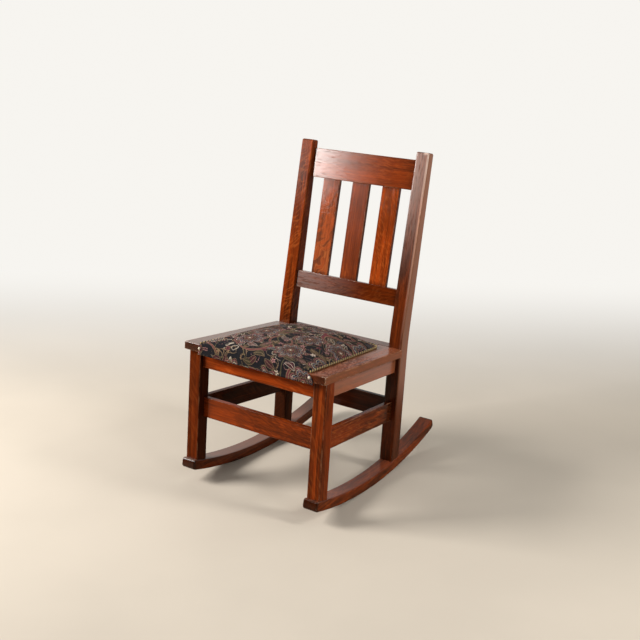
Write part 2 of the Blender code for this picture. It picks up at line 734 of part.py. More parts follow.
def add_strap(name, run, place):
    bm = bmesh.new()
    rings = []
    for along, level in run:
        ring = []
        for side, lift in ((-1, -1), (1, -1), (1, 1), (-1, 1)):
            height = level + lift * STRAP_THICKNESS / 2
            ring.append(bm.verts.new(place(along, side * STRAP_WIDTH / 2, height)))
        rings.append(ring)
    for ring, following in zip(rings, rings[1:]):
        for k in range(4):
            j = (k + 1) % 4
            bm.faces.new((ring[k], ring[j], following[j], following[k]))
    bm.faces.new(rings[0])
    bm.faces.new(rings[-1])
    add_object(name, bm, rest, jute)


def add_webbing():
    # Straps both ways, interlaced, tacked to the tops of the boards; returns the level above them
    middle = BOARD_THICKNESS + GAP + STRAP_THICKNESS + GAP / 2
    inner = cord_line(-BOARD_LAP)
    rear = cord_rear - BOARD_LAP
    offsets = strap_spread(-inner(rear), inner(rear))
    depths = strap_spread(FRONT_BOARD_DEPTH, rear)
    for k, x in enumerate(offsets):
        run = strap_points(FRONT_BOARD_DEPTH - STRAP_LAP, rear + STRAP_LAP, depths, k % 2 == 0, middle)
        add_strap(f"webbing_long_{k + 1}", run, lambda along, side, level, x=x: (x + side, along, level))
    for k, y in enumerate(depths):
        half = inner(y + STRAP_WIDTH / 2) + STRAP_LAP
        run = strap_points(-half, half, offsets, k % 2 == 1, middle)
        add_strap(f"webbing_cross_{k + 1}", run, lambda along, side, level, y=y: (along, y + side, level))
    return BOARD_THICKNESS + 2 * STRAP_THICKNESS + 3 * GAP


def pad_half(inset, front, corner):
    # Right half of a line round the pad, inside the cord by inset, from the front to the rear
    line = cord_line(-inset)
    rear = cord_rear - inset
    bend = fillet((line(front), front), (line(rear), rear), (0.0, rear), corner, CORNER_STEPS)
    return [(line(front), front)] + bend


def add_hessian(base):
    # Open cloth over the webbing, tacked all round
    half = pad_half(BOARD_LAP - STRAP_LAP, FRONT_BOARD_DEPTH - 2 * STRAP_LAP, HESSIAN_CORNER)
    outline = half + [(-x, y) for x, y in reversed(half)]
    zs = (base, base + HESSIAN_THICKNESS)
    add_object("hessian", prism(outline, upright(zs)), rest, sacking)
    return base + HESSIAN_THICKNESS + GAP


def cord_route():
    # Centre line of the cord: back along the left, across the rear, forward along the right
    level = BOARD_THICKNESS + CORD_RADIUS + GAP
    half = pad_half(0.0, -FRONT_OVERHANG + CORD_RADIUS, CORD_CORNER)
    return [(-x, y, level) for x, y in half] + [(x, y, level) for x, y in reversed(half)]


def add_cord():
    route = cord_route()
    curve = bpy.data.curves.new("gimp_cord", "CURVE")
    curve.dimensions = "3D"
    curve.bevel_depth = CORD_RADIUS
    curve.bevel_resolution = 2
    curve.use_fill_caps = True
    spline = curve.splines.new("POLY")
    spline.points.add(len(route) - 1)
    for spot, point in zip(route, spline.points):
        point.co = (*spot, 1.0)
    curve.materials.append(gimp)
    cord = bpy.data.objects.new("gimp_cord", curve)
    cord.parent = rest
    bpy.context.collection.objects.link(cord)


def add_cover_nails(boards):
    # One domed nail at each front corner of the cover, in the end of a side board
    dome = []
    for step in range(1, NAIL_DOME_STEPS + 1):
        angle = math.pi / 2 * step / NAIL_DOME_STEPS
        dome.append((NAIL_HEAD_HEIGHT * (1 - math.cos(angle)), NAIL_HEAD_RADIUS * math.sin(angle)))
    shank = [(NAIL_HEAD_HEIGHT, NAIL_SHANK_RADIUS), (NAIL_LENGTH, NAIL_SHANK_RADIUS)]
    insets = {"left": NAIL_INSET_LEFT, "right": NAIL_INSET_RIGHT}
    for label, side in SIDES:
        x = side * (cord_line()(-FRONT_OVERHANG) - insets[label])
        base = (x, -FRONT_OVERHANG - GAP - NAIL_HEAD_HEIGHT, NAIL_HEIGHT)
        add_turned("cover_nail_" + label, dome + shank, base, (0, 1, 0), rest, ivory)
        hole = [(0.0, NAIL_SHANK_RADIUS + GAP), (NAIL_LENGTH + GAP, NAIL_SHANK_RADIUS + GAP)]
        cutter = add_turned("hole_nail_" + label, hole, base, (0, 1, 0), rest)
        combine(boards[label], cutter, "DIFFERENCE")


def stand_on_floor():
    # Leans the chair to its rest, lowers it to the floor and centres its outline on the origin
    rest.rotation_euler.x = -math.radians(REST_LEAN)
    bpy.context.view_layer.update()
    depsgraph = bpy.context.evaluated_depsgraph_get()
    spots = []
    for piece in bpy.context.collection.objects:
        if piece.type in ("MESH", "CURVE") and not piece.hide_render:
            evaluated = piece.evaluated_get(depsgraph)
            mesh = evaluated.to_mesh()
            spots += [evaluated.matrix_world @ vert.co for vert in mesh.vertices]
            evaluated.to_mesh_clear()
    ys = [spot.y for spot in spots]
    rest.location.y = -(min(ys) + max(ys)) / 2
    rest.location.z = -min(spot.z for spot in spots)
    bpy.context.view_layer.update()


for old in list(bpy.data.objects):
    bpy.data.objects.remove(old, do_unlink=True)

oak = finish("fumed_oak", (0.150, 0.040, 0.014), 0.35)
blockwood = finish("block_wood", (0.350, 0.210, 0.110), 0.70)
tapestry = finish("tapestry", (0.035, 0.028, 0.032), 0.85)
gimp = finish("gimp", (0.160, 0.115, 0.060), 0.70)
hair = finish("stuffing", (0.080, 0.060, 0.045), 0.95)
sacking = finish("hessian", (0.330, 0.235, 0.130), 0.95)
jute = finish("jute", (0.380, 0.270, 0.140), 0.90)
ivory = finish("ivory_nail", (0.640, 0.560, 0.430), 0.40)
steel = finish("screw_steel", (0.330, 0.320, 0.310), 0.45, 1.0)

rest = bpy.data.objects.new("rest_pose", None)
bpy.context.collection.objects.link(rest)
back = bpy.data.objects.new("back_frame", None)
back.parent = rest
back.location = (0.0, leg_face(SEAT_DEPTH)(BEND_HEIGHT), BEND_HEIGHT)
back.rotation_euler.x = -math.radians(BACK_RAKE)
bpy.context.collection.objects.link(back)

rocker_pair = [add_rocker(label, side) for label, side in SIDES]
leg_pair = [add_front_leg(label, side, rocker) for (label, side), rocker in zip(SIDES, rocker_pair)]
post_pair = [add_rear_post(label, side, rocker) for (label, side), rocker in zip(SIDES, rocker_pair)]
add_rails(leg_pair, post_pair)
add_back(post_pair)
side_boards = add_seat_boards()
add_corner_blocks(side_boards)
webbing_top = add_webbing()
hessian_top = add_hessian(webbing_top)
add_stuffing(hessian_top)
add_cover()
add_cord()
add_cover_nails(side_boards)
stand_on_floor()
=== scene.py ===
# Sewing rocker: oak, tapestry seat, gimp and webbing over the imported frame
import math

import bmesh
import bpy
from mathutils import Euler, Matrix, Vector, noise


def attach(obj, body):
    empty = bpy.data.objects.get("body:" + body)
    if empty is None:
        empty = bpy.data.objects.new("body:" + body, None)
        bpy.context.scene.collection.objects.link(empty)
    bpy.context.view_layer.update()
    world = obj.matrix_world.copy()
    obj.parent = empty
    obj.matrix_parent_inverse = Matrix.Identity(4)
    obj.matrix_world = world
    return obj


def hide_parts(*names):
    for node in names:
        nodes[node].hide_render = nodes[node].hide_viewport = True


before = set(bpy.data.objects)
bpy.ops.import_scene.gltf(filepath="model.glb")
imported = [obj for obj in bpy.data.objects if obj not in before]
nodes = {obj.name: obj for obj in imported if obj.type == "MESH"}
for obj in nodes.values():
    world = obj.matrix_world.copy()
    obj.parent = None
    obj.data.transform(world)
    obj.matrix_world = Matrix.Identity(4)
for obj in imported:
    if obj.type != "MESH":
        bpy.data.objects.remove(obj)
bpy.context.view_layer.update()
scene = bpy.context.scene
upward = Vector((0, 0, 1))
fullTurn = 6.283
print("frame:", len(nodes), "nodes")


class Wire:
    # one shader value; an expression on values adds its Math nodes
    def __init__(self, tree, socket=None):
        self.tree = tree
        self.socket = socket

    def node(self, kind, settings=None, inputs=None, out=0):
        made = self.tree.nodes.new("ShaderNode" + kind)
        for key, value in (settings or {}).items():
            if key == "stops":
                setStops(made.color_ramp, value)
            else:
                setattr(made, key, value)
        for key, value in (inputs or {}).items():
            if isinstance(value, Wire):
                self.tree.links.new(value.socket, made.inputs[key])
            else:
                made.inputs[key].default_value = value
        return Wire(self.tree, made.outputs[out])

    def calc(self, operation, *values):
        return self.node("Math", {"operation": operation}, dict(enumerate(values)))

    def __add__(self, other):
        return self.calc("ADD", self, other)

    def __radd__(self, other):
        return self.calc("ADD", other, self)

    def __sub__(self, other):
        return self.calc("SUBTRACT", self, other)

    def __rsub__(self, other):
        return self.calc("SUBTRACT", other, self)

    def __mul__(self, other):
        return self.calc("MULTIPLY", self, other)

    def __rmul__(self, other):
        return self.calc("MULTIPLY", other, self)

    def __truediv__(self, other):
        return self.calc("DIVIDE", self, other)

    def __rtruediv__(self, other):
        return self.calc("DIVIDE", other, self)

    def __abs__(self):
        return self.calc("ABSOLUTE", self)

    def top(self, other):
        return self.calc("MAXIMUM", self, other)

    def low(self, other):
        return self.calc("MINIMUM", self, other)

    def rise(self, start, end):
        # smooth step from 0 at start to 1 at end
        inputs = {0: self, 1: start, 2: end, 3: 0.0, 4: 1.0}
        return self.node("MapRange", {"interpolation_type": "SMOOTHSTEP"}, inputs)

    def sibling(self, out):
        return Wire(self.tree, self.socket.node.outputs[out])

    def parts(self):
        split = self.node("SeparateXYZ", None, {0: self})
        return [split.sibling(i) for i in range(3)]

    def place(self):
        return self.node("TexCoord", out="Object")

    def point(self, x, y, z):
        return self.node("CombineXYZ", None, {0: x, 1: y, 2: z})

    def noise(self, x, y, z, detail=2.0, rough=0.5):
        inputs = {"Vector": self.point(x, y, z), "Scale": 1.0, "Detail": detail, "Roughness": rough}
        return self.node("TexNoise", None, inputs)

    def blend(self, factor, a, b):
        inputs = {0: factor, 6: tint(a), 7: tint(b)}
        return self.node("Mix", {"data_type": "RGBA"}, inputs, out=2)

    def steps(self, *stops):
        return self.node("ValToRGB", {"stops": stops}, {0: self})

    def bump(self, height, strength, distance):
        return self.node("Bump", None, {"Strength": strength, "Distance": distance, "Height": height})


def setStops(ramp, stops):
    # plain colours, with no blending from one to the next
    ramp.interpolation = "CONSTANT"
    while len(ramp.elements) > 1:
        ramp.elements.remove(ramp.elements[-1])
    for i, (place, colour) in enumerate(stops):
        element = ramp.elements[0] if i == 0 else ramp.elements.new(place)
        element.position = place
        element.color = (*colour, 1.0)


def tint(colour):
    return colour if isinstance(colour, Wire) else (*colour, 1.0)


def newFinish(name, **constants):
    # empty material; constants go straight on the shader's own sockets
    material = bpy.data.materials.new(name)
    material.use_nodes = True
    tree = material.node_tree
    shader = tree.nodes["Principled BSDF"]
    for key, value in constants.items():
        shader.inputs[key].default_value = value
    return material, Wire(tree), shader


def feed(wire, shader, key):
    wire.tree.links.new(wire.socket, shader.inputs[key])


def newPiece(name, bm, *materials):
    mesh = bpy.data.meshes.new(name)
    bm.to_mesh(mesh)
    bm.free()
    for material in materials:
        mesh.materials.append(material)
    piece = bpy.data.objects.new(name, mesh)
    scene.collection.objects.link(piece)
    return piece


def layFlat(piece, name, flat):
    # where each point of a cloth lies before it is fitted, for its weave
    laid = piece.data.attributes.new(name, "FLOAT_VECTOR", "POINT")
    laid.data.foreach_set("vector", flat)


def seatFrame():
    # lean of the seat, and the place of its front edge's middle, on top of the boards
    board = nodes["seat_board_left"].data
    top = max(board.polygons, key=lambda p: p.area if p.normal.z > 0.9 else 0.0)
    lean = math.atan2(top.normal.y, top.normal.z)
    turn = Matrix.Rotation(-lean, 4, "X")
    flat = [turn.inverted() @ v.co for v in board.vertices]
    edge = Matrix.Translation((0.0, min(v.y for v in flat), max(v.z for v in flat)))
    return math.degrees(lean), turn @ edge


seatLean, seatPlace = seatFrame()
print("seat: leans", round(seatLean, 2), "degrees")

# Oak

oak = {
    "dark": (0.060, 0.0112, 0.0022),
    "mid": (0.224, 0.0325, 0.0034),
    "light": (0.345, 0.0640, 0.0085),
    "fleckColour": (0.430, 0.1020, 0.0190),
    # worn arrises: wear, and paler also as a painted highlight along them
    "wornAndHighlight": (0.460, 0.2100, 0.1050),
    # a painted highlight on a worn arris, and its ruddier lower part
    "bareWearAndHighlight": (0.760, 0.5600, 0.4600),
    "ruddyWearAndHighlight": (0.720, 0.3900, 0.2700),
    # painted sheen on tops
    "paintedTopSheen": (0.270, 0.2000, 0.1650),
    "chip": (0.740, 0.6200, 0.5000),
    # dark for dirt, and for painted shade: inner sides, under the seat, cast shadows
    "dirtAndShade": (0.020, 0.0060, 0.0028),
    # painted light on lit sides and tops
    "paintedLight": (0.270, 0.1080, 0.0540),
    # painted glare, then a grey-pink painted sheen
    "paintedGlare": (0.600, 0.1600, 0.0400),
    "paintedSheen": (0.460, 0.2400, 0.1700),
    "lineShow": 0.5,
    "fleckShow": 0.75,
    "streakShow": 0.3,
    "poreShow": 0.5,
    "jointDirt": 0.4,
    "wornWidth": 0.0028,
    "arrisDarkReach": (0.001, 0.006),     # ways in from an arris, a corner or a face
    "chipReach": (0.001, 0.0022),
    "cornerReach": (0.008, 0.018),
    "sideReach": (0.0004, 0.0024),
    "roughness": 0.08,
    "bumpDepth": 0.0006,
    "seatShade": (0.30, 0.42),       # heights over the floor where the seat's shade ends
    "seatClose": (0.14, 0.28),       # and between which it deepens
}

# noises in the wood: scale along the grain and across it, detail, roughness
grain = {
    "sway": (5.0, 9.0, 2.0, 0.5),
    "bands": (1.3, 42.0, 3.0, 0.5),
    "lines": (5.0, 230.0, 4.0, 0.65),
    "streaks": (30.0, 360.0, 2.0, 0.5),
    "pores": (45.0, 1300.0, 1.0, 0.5),
    "stain": (9.0, 16.0, 2.0, 0.5),
    "warp": (24.0, 24.0, 1.0, 0.5),
    "patch": (7.0, 13.0, 1.0, 0.5),
    "rub": (22.0, 60.0, 4.0, 0.7),
    "chips": (420.0, 420.0, 2.0, 0.5),
}
swayed = {"bands": (0.5, 1.2), "lines": (1.0, 3.0)}

legLean = 1.3
backRake = 6.2
sideYaw = 1.88
rockerTilt = 2.4
postTilt = -9.0
plumb = legLean - seatLean
raked = -seatLean - backRake

# a board, as far as its own entry doesn't say otherwise
plainBoard = {
    "tilt": -seatLean,    # about x, in degrees
    "yaw": 0.0,           # about z
    "red": 0.0,
    "fleck": 0.3,         # ray fleck: amount, slope to the grain, fineness, length, bend, gaps
    "slope": 50,
    "fine": 120,
    "short": 0.2,
    "bend": 2.2,
    "patchy": 0.36,
    "grainy": 1.0,        # contrast of the grain
    "close": 1.0,         # length of the dark streaks, less when higher
    "wear": 1.0,          # width of the worn arrises, how much of them, their colour, paler also as a painted highlight
    "rubbed": 0.5,
    "rubTo": "wornAndHighlight",
    "chipped": 0.2,
    "arrisDarkening": 0.18,       # darker along the arrises, dirt on the end grain and how far in
    "ends": 0.5,
    "endDepth": 0.0022,
    "gloss": 0.12,
    "rough": 0.0,
    "coatRough": 0.14,
    "veins": 0.45,        # streaks that break the varnish
    "bumpy": 0.12,
}

# grain is the axis it runs along; coat is an axis, where the varnish is thin, where thick, its weight;
# sun a painted sheen, on the crest a painted glare, where the varnish is thick: its colour, how far, at
# most;
# dusk a painted shadow: an axis, from, to, how dark; shaded painted shade close under the seat and lower;
# right and top the colour painted on those sides, painted shade on some boards, painted light and sheen on
# others
boards = {
    # painted shade: both front legs have a darker right side
    "front_leg_left": dict(
        grain=2, tilt=plumb, tone=0.70, red=0.05, fleck=0.25, slope=60, fine=110, gloss=0.04,
        right=("dirtAndShade", 0.75)),
    "front_leg_right": dict(
        grain=2, tilt=plumb, tone=1.15, red=0.05, fleck=0.25, slope=65, fine=110, grainy=1.3, wear=1.3,
        arrisDarkening=0.0, gloss=0.07, right=("dirtAndShade", 0.22)),
    # painted shade: darker under the seat and on its right side
    "rear_post_left": dict(
        grain=2, tilt=postTilt, tone=1.1, fleck=0.45, slope=-40, fine=95, short=0.14, thin=0.06,
        patchy=0.25, gloss=0.03, rough=0.06, shaded=(0.88, 0.88), right=("dirtAndShade", 0.35)),
    # painted light and shade: a pale highlight on the worn right arris, a grey-pink sheen on its upper
    # part, a pale lit right side, darker under the seat
    "rear_post_right": dict(
        grain=2, tilt=postTilt, tone=0.66, red=-0.2, fleck=0.1, grainy=1.5, wear=3.0, rubbed=0.95,
        rubAndHighlightSide=(-0.25, 0.40), rubTo="bareWearAndHighlight", rubAndHighlightLow=("ruddyWearAndHighlight", 0.24, 0.40), rough=0.1,
        coat=(2, 0.03, 0.38, 1.0), coatRough=0.31, paintedSheenWash=("paintedSheen", 0.36, 1.0), veins=0.6,
        shaded=(0.6, 0.3), right=("paintedLight", 0.7)),
    # painted shade on its right side and towards its rear end, painted sheen on its top
    "rocker_left": dict(
        grain=1, tilt=rockerTilt, tone=0.75, red=-0.1, fleck=0.15, slope=40, ends=0.8, endDepth=0.014,
        gloss=0.25, rough=0.1, right=("dirtAndShade", 0.92), top=("paintedTopSheen", 0.42), paintedShadow=(1, 0.12, 0.22, 0.5)),
    # a faint painted sheen on its top
    "rocker_right": dict(
        grain=1, tilt=rockerTilt, tone=0.95, red=-0.2, fleck=0.2, slope=60, grainy=1.4, ends=0.8,
        endDepth=0.014, top=("paintedTopSheen", 0.1)),
    # its high tone is painted light, bright under the boards' overhang
    "front_seat_rail": dict(grain=0, tone=1.65, red=0.15, slope=75, fine=150, gloss=0.05, tenon=0.016),
    "rear_seat_rail": dict(grain=0, tone=0.8, tenon=0.016),
    "left_seat_rail": dict(grain=1, yaw=-sideYaw, tone=0.9, tenon=0.016),
    # its high tone and paler right side are painted light
    "right_seat_rail": dict(
        grain=1, yaw=sideYaw, tone=1.8, red=-0.2, fleck=0.15, slope=70, gloss=0.28, rough=0.12, tenon=0.016,
        right=("paintedLight", 0.6)),
    "front_stretcher": dict(
        grain=0, tone=1.3, fleck=0.95, slope=77, fine=125, short=0.16, thin=0.11, patchy=0.2,
        figured=(-0.15, -0.02), darkFleck=True, rubbed=0.3, wear=0.8, tenon=0.016),
    # their low tones are painted shade: these stretchers stand in the shade under the seat
    "rear_stretcher": dict(grain=0, tone=0.32, tenon=0.016),
    "left_stretcher": dict(grain=1, yaw=-sideYaw, tone=0.38, tenon=0.016),
    # painted shadow over its rear end, by the post
    "right_stretcher": dict(
        grain=1, yaw=sideYaw, tone=1.0, red=-0.1, fleck=0.4, slope=80, fine=190, grainy=1.3, tenon=0.016,
        paintedShadow=(1, 0.10, 0.15, 0.75)),
    # a painted glare over its left end, a painted shadow at its right end
    "crest_rail": dict(
        grain=0, tilt=raked, tone=1.1, fleck=0.2, slope=82, fine=190, grainy=0.75, close=1.5, bumpy=0.06,
        gloss=0.02, rough=0.14, coat=(0, 0.12, -0.16, 1.0), coatRough=0.19, paintedSheenWash=("paintedGlare", 0.3, 0.35),
        veins=0.55, tenon=0.016, paintedShadow=(0, 0.11, 0.165, 0.3)),
    # a painted sheen at its left end
    "lower_back_rail": dict(
        grain=0, tilt=raked, tone=0.5, fleck=0.4, slope=-62, fine=90, short=0.14, thin=0.06, close=1.6,
        coat=(0, 0.08, -0.15, 1.0), coatRough=0.38, paintedSheenWash=("paintedSheen", 0.13, 1.0), veins=0.6, tenon=0.016),
    # the slats' darker right edges are painted shade; this slat also has a faint painted sheen below its
    # top part
    "back_slat_left": dict(
        grain=2, tilt=raked, tone=1.5, red=-0.5, fleck=0.42, slope=-52, fine=58, bend=4.0, thin=0.05,
        patchy=0.2, figured=(0.0, -0.07), flame=0.75, grainy=0.7, gloss=0.14, coat=(2, 0.16, -0.02, 0.0),
        paintedSheenWash=("paintedSheen", 0.07, 1.0), tenon=0.012, right=("dirtAndShade", 0.5)),
    "back_slat_middle": dict(
        grain=2, tilt=raked, tone=1.14, red=-0.2, fleck=0.15, slope=70, fine=150, grainy=0.75, gloss=0.11,
        rough=0.12, tenon=0.012, right=("dirtAndShade", 0.5)),
    "back_slat_right": dict(
        grain=2, tilt=raked, tone=1.62, red=0.1, fleck=0.28, slope=62, fine=240, patchy=0.2, short=0.25,
        tenon=0.012, right=("dirtAndShade", 0.5)),
    # painted sheen on its top
    "seat_board_left": dict(
        grain=1, yaw=-sideYaw, tone=0.75, red=-0.3, fleck=0.2, fine=110, wear=1.3, chipped=0.8, ends=0.75,
        gloss=0.3, rough=0.14, bumpy=0.05, coat=(1, -1.0, 1.0, 1.0), coatRough=0.2, veins=0.3,
        top=("paintedTopSheen", 0.65)),
    # painted light on its right side and its top
    "seat_board_right": dict(
        grain=1, yaw=sideYaw, tone=1.1, red=-0.4, fleck=0.95, slope=68, short=0.3, thin=0.13, patchy=0.2,
        figured=(0.08, 0.03), darkFleck=True, grainy=1.2, wear=1.5, chipped=0.8, ends=0.6, gloss=0.03,
        rough=0.14, bumpy=0.05, coat=(1, -1.0, 1.0, 1.6), coatRough=0.22, veins=0.3,
        right=("paintedLight", 0.55), top=("paintedLight", 0.4)),
    # painted sheen on its top
    "seat_board_rear": dict(
        grain=0, tone=0.85, red=-0.3, fleck=0.2, fine=110, grainy=1.4, gloss=0.3, rough=0.14, bumpy=0.05,
        top=("paintedTopSheen", 0.3)),
    "seat_board_front": dict(grain=0, tone=0.85, fleck=0.2, fine=110),
}

bentPost = {"lower": plumb - postTilt, "upper": raked - postTilt, "depth": 0.0390, "narrowing": 0.0288}
sawnRocker = {"centre": (0.0, 0.1985, 0.6912), "radius": 1.056, "depth": 0.0275}


def flatPoints(name, turn):
    return [turn.inverted() @ v.co for v in nodes[name].data.vertices]


def boxOf(points):
    low = Vector(min(p[i] for p in points) for i in range(3))
    high = Vector(max(p[i] for p in points) for i in range(3))
    return low, high


def boardBox(name, turn):
    # middle and half sizes of a board in its own leaning frame
    low, high = boxOf(flatPoints(name, turn))
    return turn @ ((low + high) / 2), (high - low) / 2


def postGap(name, turn, middle, axes):
    # way in from the front or the rear of a bent post, whose front is two planes
    flat = [p - turn.inverted() @ middle for p in flatPoints(name, turn)]
    lower = math.tan(math.radians(bentPost["lower"]))
    upper = math.tan(math.radians(bentPost["upper"]))
    lowFace = min(p.y + lower * p.z for p in flat)
    highFace = min(p.y + upper * p.z for p in flat)
    bend = (lowFace - highFace) / (lower - upper)
    way = axes[1] - (lowFace - axes[2] * lower).top(highFace - axes[2] * upper)
    depth = bentPost["depth"] - (axes[2] - bend).top(0.0) * bentPost["narrowing"]
    return way.low(depth - way).top(0.0)


def rockerGap(spot):
    # way in from the top or the underside of a curved rocker
    _, y, z = spot.parts()
    centre = seatPlace @ Vector(sawnRocker["centre"])
    dy, dz = y - centre.y, z - centre.z
    way = sawnRocker["radius"] - y.calc("SQRT", dy * dy + dz * dz)
    return way.low(sawnRocker["depth"] - way).top(0.0)


def toned(key, look):
    # a colour of the oak in the board's own tone and redness
    r, g, b = oak[key]
    tone, red = look["tone"], look["red"]
    return r * tone, g * tone * (1 - 0.3 * red), b * tone * (1 - 0.6 * red)


def rayFleck(w, look, seed, grained, along, broad, lengthwise):
    # wavy ribbons that cross the grain at a slope
    warp = grained("warp")
    c = math.cos(math.radians(look["slope"])) * look["fine"]
    d = math.sin(math.radians(look["slope"])) * look["fine"]
    ribbon = w.noise(along * c + broad * d + warp * look["bend"],
                     (broad * c - along * d) * look["short"] + warp, seed * 3.0)
    if "thin" in look:    # lines in place of ribbons
        figure = 1.0 - abs(ribbon - 0.5).rise(0.0, look["thin"])
    else:
        figure = ribbon.rise(0.46, 0.66)
    fleck = figure * grained("patch").rise(look["patchy"], look["patchy"] + 0.22) * look["fleck"]
    if "figured" in look:    # over part of the length
        start, end = look["figured"]
        fleck = fleck * ((lengthwise - start) / (end - start)).rise(0.0, 1.0)
    return ribbon, fleck


def wornEdgesAndHighlight(look, grained, axes, gaps, lengthwise):
    # the arris is where the second nearest face is close, a corner where the third is too
    total = gaps[0] + gaps[1] + gaps[2]
    far = gaps[0].top(gaps[1]).top(gaps[2])
    arris = total - far - gaps[0].low(gaps[1]).low(gaps[2])
    rub = grained("rub")
    wear = look["wear"]
    less = 0.5 * look["rubbed"]
    # the worn strip on the arrises, whose paler colour is also a painted highlight
    wornAndHighlight = (1.0 - arris.rise(0.0005, oak["wornWidth"] * wear)) * rub.rise(0.66 - less, 0.92 - less)
    if "rubAndHighlightSide" in look:    # only the right arrises, over part of the length, where the worn strip is also a painted highlight
        wornAndHighlight = wornAndHighlight * axes[0].rise(0.0, 0.008) * lengthwise.rise(*look["rubAndHighlightSide"])
        wornAndHighlight = wornAndHighlight * (1.0 - gaps[1].rise(0.0006, 0.003))
    corner = 1.0 - far.rise(*oak["cornerReach"])
    chips = (grained("chips") + corner * 0.08).rise(0.60, 0.66) * (1.0 - arris.rise(*oak["chipReach"]))
    chips = chips * rub.rise(0.62 - 0.06 * wear, 0.72 - 0.06 * wear).top(corner)
    return arris, wornAndHighlight, chips


def oakFinish(name, entry, seed):
    look = {**plainBoard, **entry}
    material, w, shader = newFinish("oak_" + name, **{
        "Specular IOR Level": look["gloss"], "Coat Roughness": look["coatRough"]})
    turn = Euler((math.radians(look["tilt"]), 0.0, math.radians(look["yaw"]))).to_matrix().to_4x4()
    middle, half = boardBox(name, turn)
    spot = w.place()
    axes = w.node("Mapping", {"vector_type": "TEXTURE"}, {
        "Vector": spot, "Location": middle, "Rotation": turn.to_euler()}).parts()
    lengthwise = axes[look["grain"]]
    sides = [axes[i] for i in range(3) if i != look["grain"]]
    # each board is cut from another place in the wood
    along = lengthwise + seed * 1.7
    a = sides[0] + seed * 0.31
    b = sides[1] + seed * 0.53

    def grained(kind, close=1.0):
        lengthScale, crossScale, detail, rough = grain[kind]
        spots = [along * (lengthScale * close), a * crossScale, b * crossScale]
        if kind in swayed:
            push, pull = swayed[kind]
            spots = [spots[0] + sway * push, spots[1] + sway * pull, spots[2] + sway * pull]
        return w.noise(*spots, detail, rough)

    sway = grained("sway")
    bands = grained("bands")
    lines = grained("lines")
    streaks = grained("streaks", look["close"]).rise(0.52, 0.66)
    pores = grained("pores").rise(0.60, 0.70)
    stain = grained("stain")
    ribbon, fleck = rayFleck(w, look, seed, grained, along, a + b, lengthwise)

    # way in from the nearer face of each pair
    gaps = [(half[i] - abs(axes[i])).top(0.0) for i in range(3)]
    if name.startswith("rear_post"):
        gaps[1] = postGap(name, turn, middle, axes)
    if name.startswith("rocker"):
        gaps[2] = rockerGap(spot)
    endGap = gaps[look["grain"]]
    arris, wornAndHighlight, chips = wornEdgesAndHighlight(look, grained, axes, gaps, lengthwise)

    grainy = look["grainy"]
    dark = toned("dark", look)
    body = bands * 0.40 + lines * 0.35 + stain * 0.25
    if "flame" in look:    # the figure sways the growth bands too
        body = body + (ribbon - 0.5) * look["flame"]
    body = body.rise(0.5 - 0.14 / grainy, 0.5 + 0.13 / grainy)
    lined = min(grainy, 1.0)
    colour = w.blend(body, dark, toned("mid", look))
    colour = w.blend(lines.rise(0.54, 0.72) * (oak["lineShow"] * lined), colour, toned("light", look))
    fleckColour = dark if "darkFleck" in look else toned("fleckColour", look)
    colour = w.blend(fleck * oak["fleckShow"], colour, fleckColour)
    if "coat" in look:
        # varnish left thicker towards one end, and a painted sheen (a painted glare on the crest) over it
        axis, thin, thick, weight = look["coat"]
        varnish = ((axes[axis] - thin) / (thick - thin)).rise(0.0, 1.0)
        if "paintedSheenWash" in look:
            key, sheenShare, most = look["paintedSheenWash"]
            colour = w.blend(varnish.low(most) * sheenShare, colour, oak[key])
        broken = streaks * look["veins"]
        varnish = varnish * weight * (1.0 - broken - lines.rise(0.5, 0.75) * (0.35 * lined))
        if "darkFleck" in look:
            varnish = varnish * (1.0 - fleck * 0.8)
    colour = w.blend(streaks * oak["streakShow"] * grainy, colour, dark)
    colour = w.blend(pores * oak["poreShow"], colour, dark)

    # dirt on end grain and in the joints, and darker along the arrises
    dirt = (1.0 - endGap.rise(look["endDepth"] * 0.3, look["endDepth"])) * look["ends"]
    dirt = dirt.top((1.0 - arris.rise(*oak["arrisDarkReach"])) * look["arrisDarkening"])
    if "tenon" in look:    # length of the end in its joint
        dirt = dirt.top((1.0 - endGap.rise(look["tenon"], look["tenon"] + 0.012)) * oak["jointDirt"])
    colour = w.blend(dirt, colour, oak["dirtAndShade"])

    # painted light and shade: shade under the seat, a right side darker on some boards and paler on others,
    # sheen on tops, cast shadows
    if "shaded" in look:
        level = spot.parts()[2]
        under = 1.0 - level.rise(*oak["seatShade"])
        close = level.rise(*oak["seatClose"])
    # painted shade darkens the right side on some boards, painted light brightens it on others
    if "right" in look:
        key, amount = look["right"]
        side = (1.0 - gaps[0].rise(*oak["sideReach"])) * axes[0].rise(-0.001, 0.001)
        if "shaded" in look and key == "paintedLight":
            # painted light on that side, strong up by the seat, hardly any down by the rocker; close under
            # the seat the painted shade spares that side
            under = under * (1.0 - side * close)
            amount = (close * 0.85 + 0.15) * amount
        colour = w.blend(side * amount, colour, oak[key])
        if "coat" in look:
            varnish = varnish * (1.0 - side)
    # painted shade under the seat
    if "shaded" in look:
        most, least = look["shaded"]
        colour = w.blend(under * (close * (most - least) + least), colour, oak["dirtAndShade"])
    # painted sheen on the top, on one board painted light
    if "top" in look:
        key, amount = look["top"]
        up = w.node("NewGeometry", out="Normal").parts()[2].rise(0.6, 0.9)
        if "darkFleck" in look:
            up = up * (1.0 - fleck)
        colour = w.blend(up * amount, colour, oak[key])
    # painted shadow along one axis
    if "paintedShadow" in look:
        axis, start, end, amount = look["paintedShadow"]
        colour = w.blend(axes[axis].rise(start, end) * amount, colour, oak["dirtAndShade"])
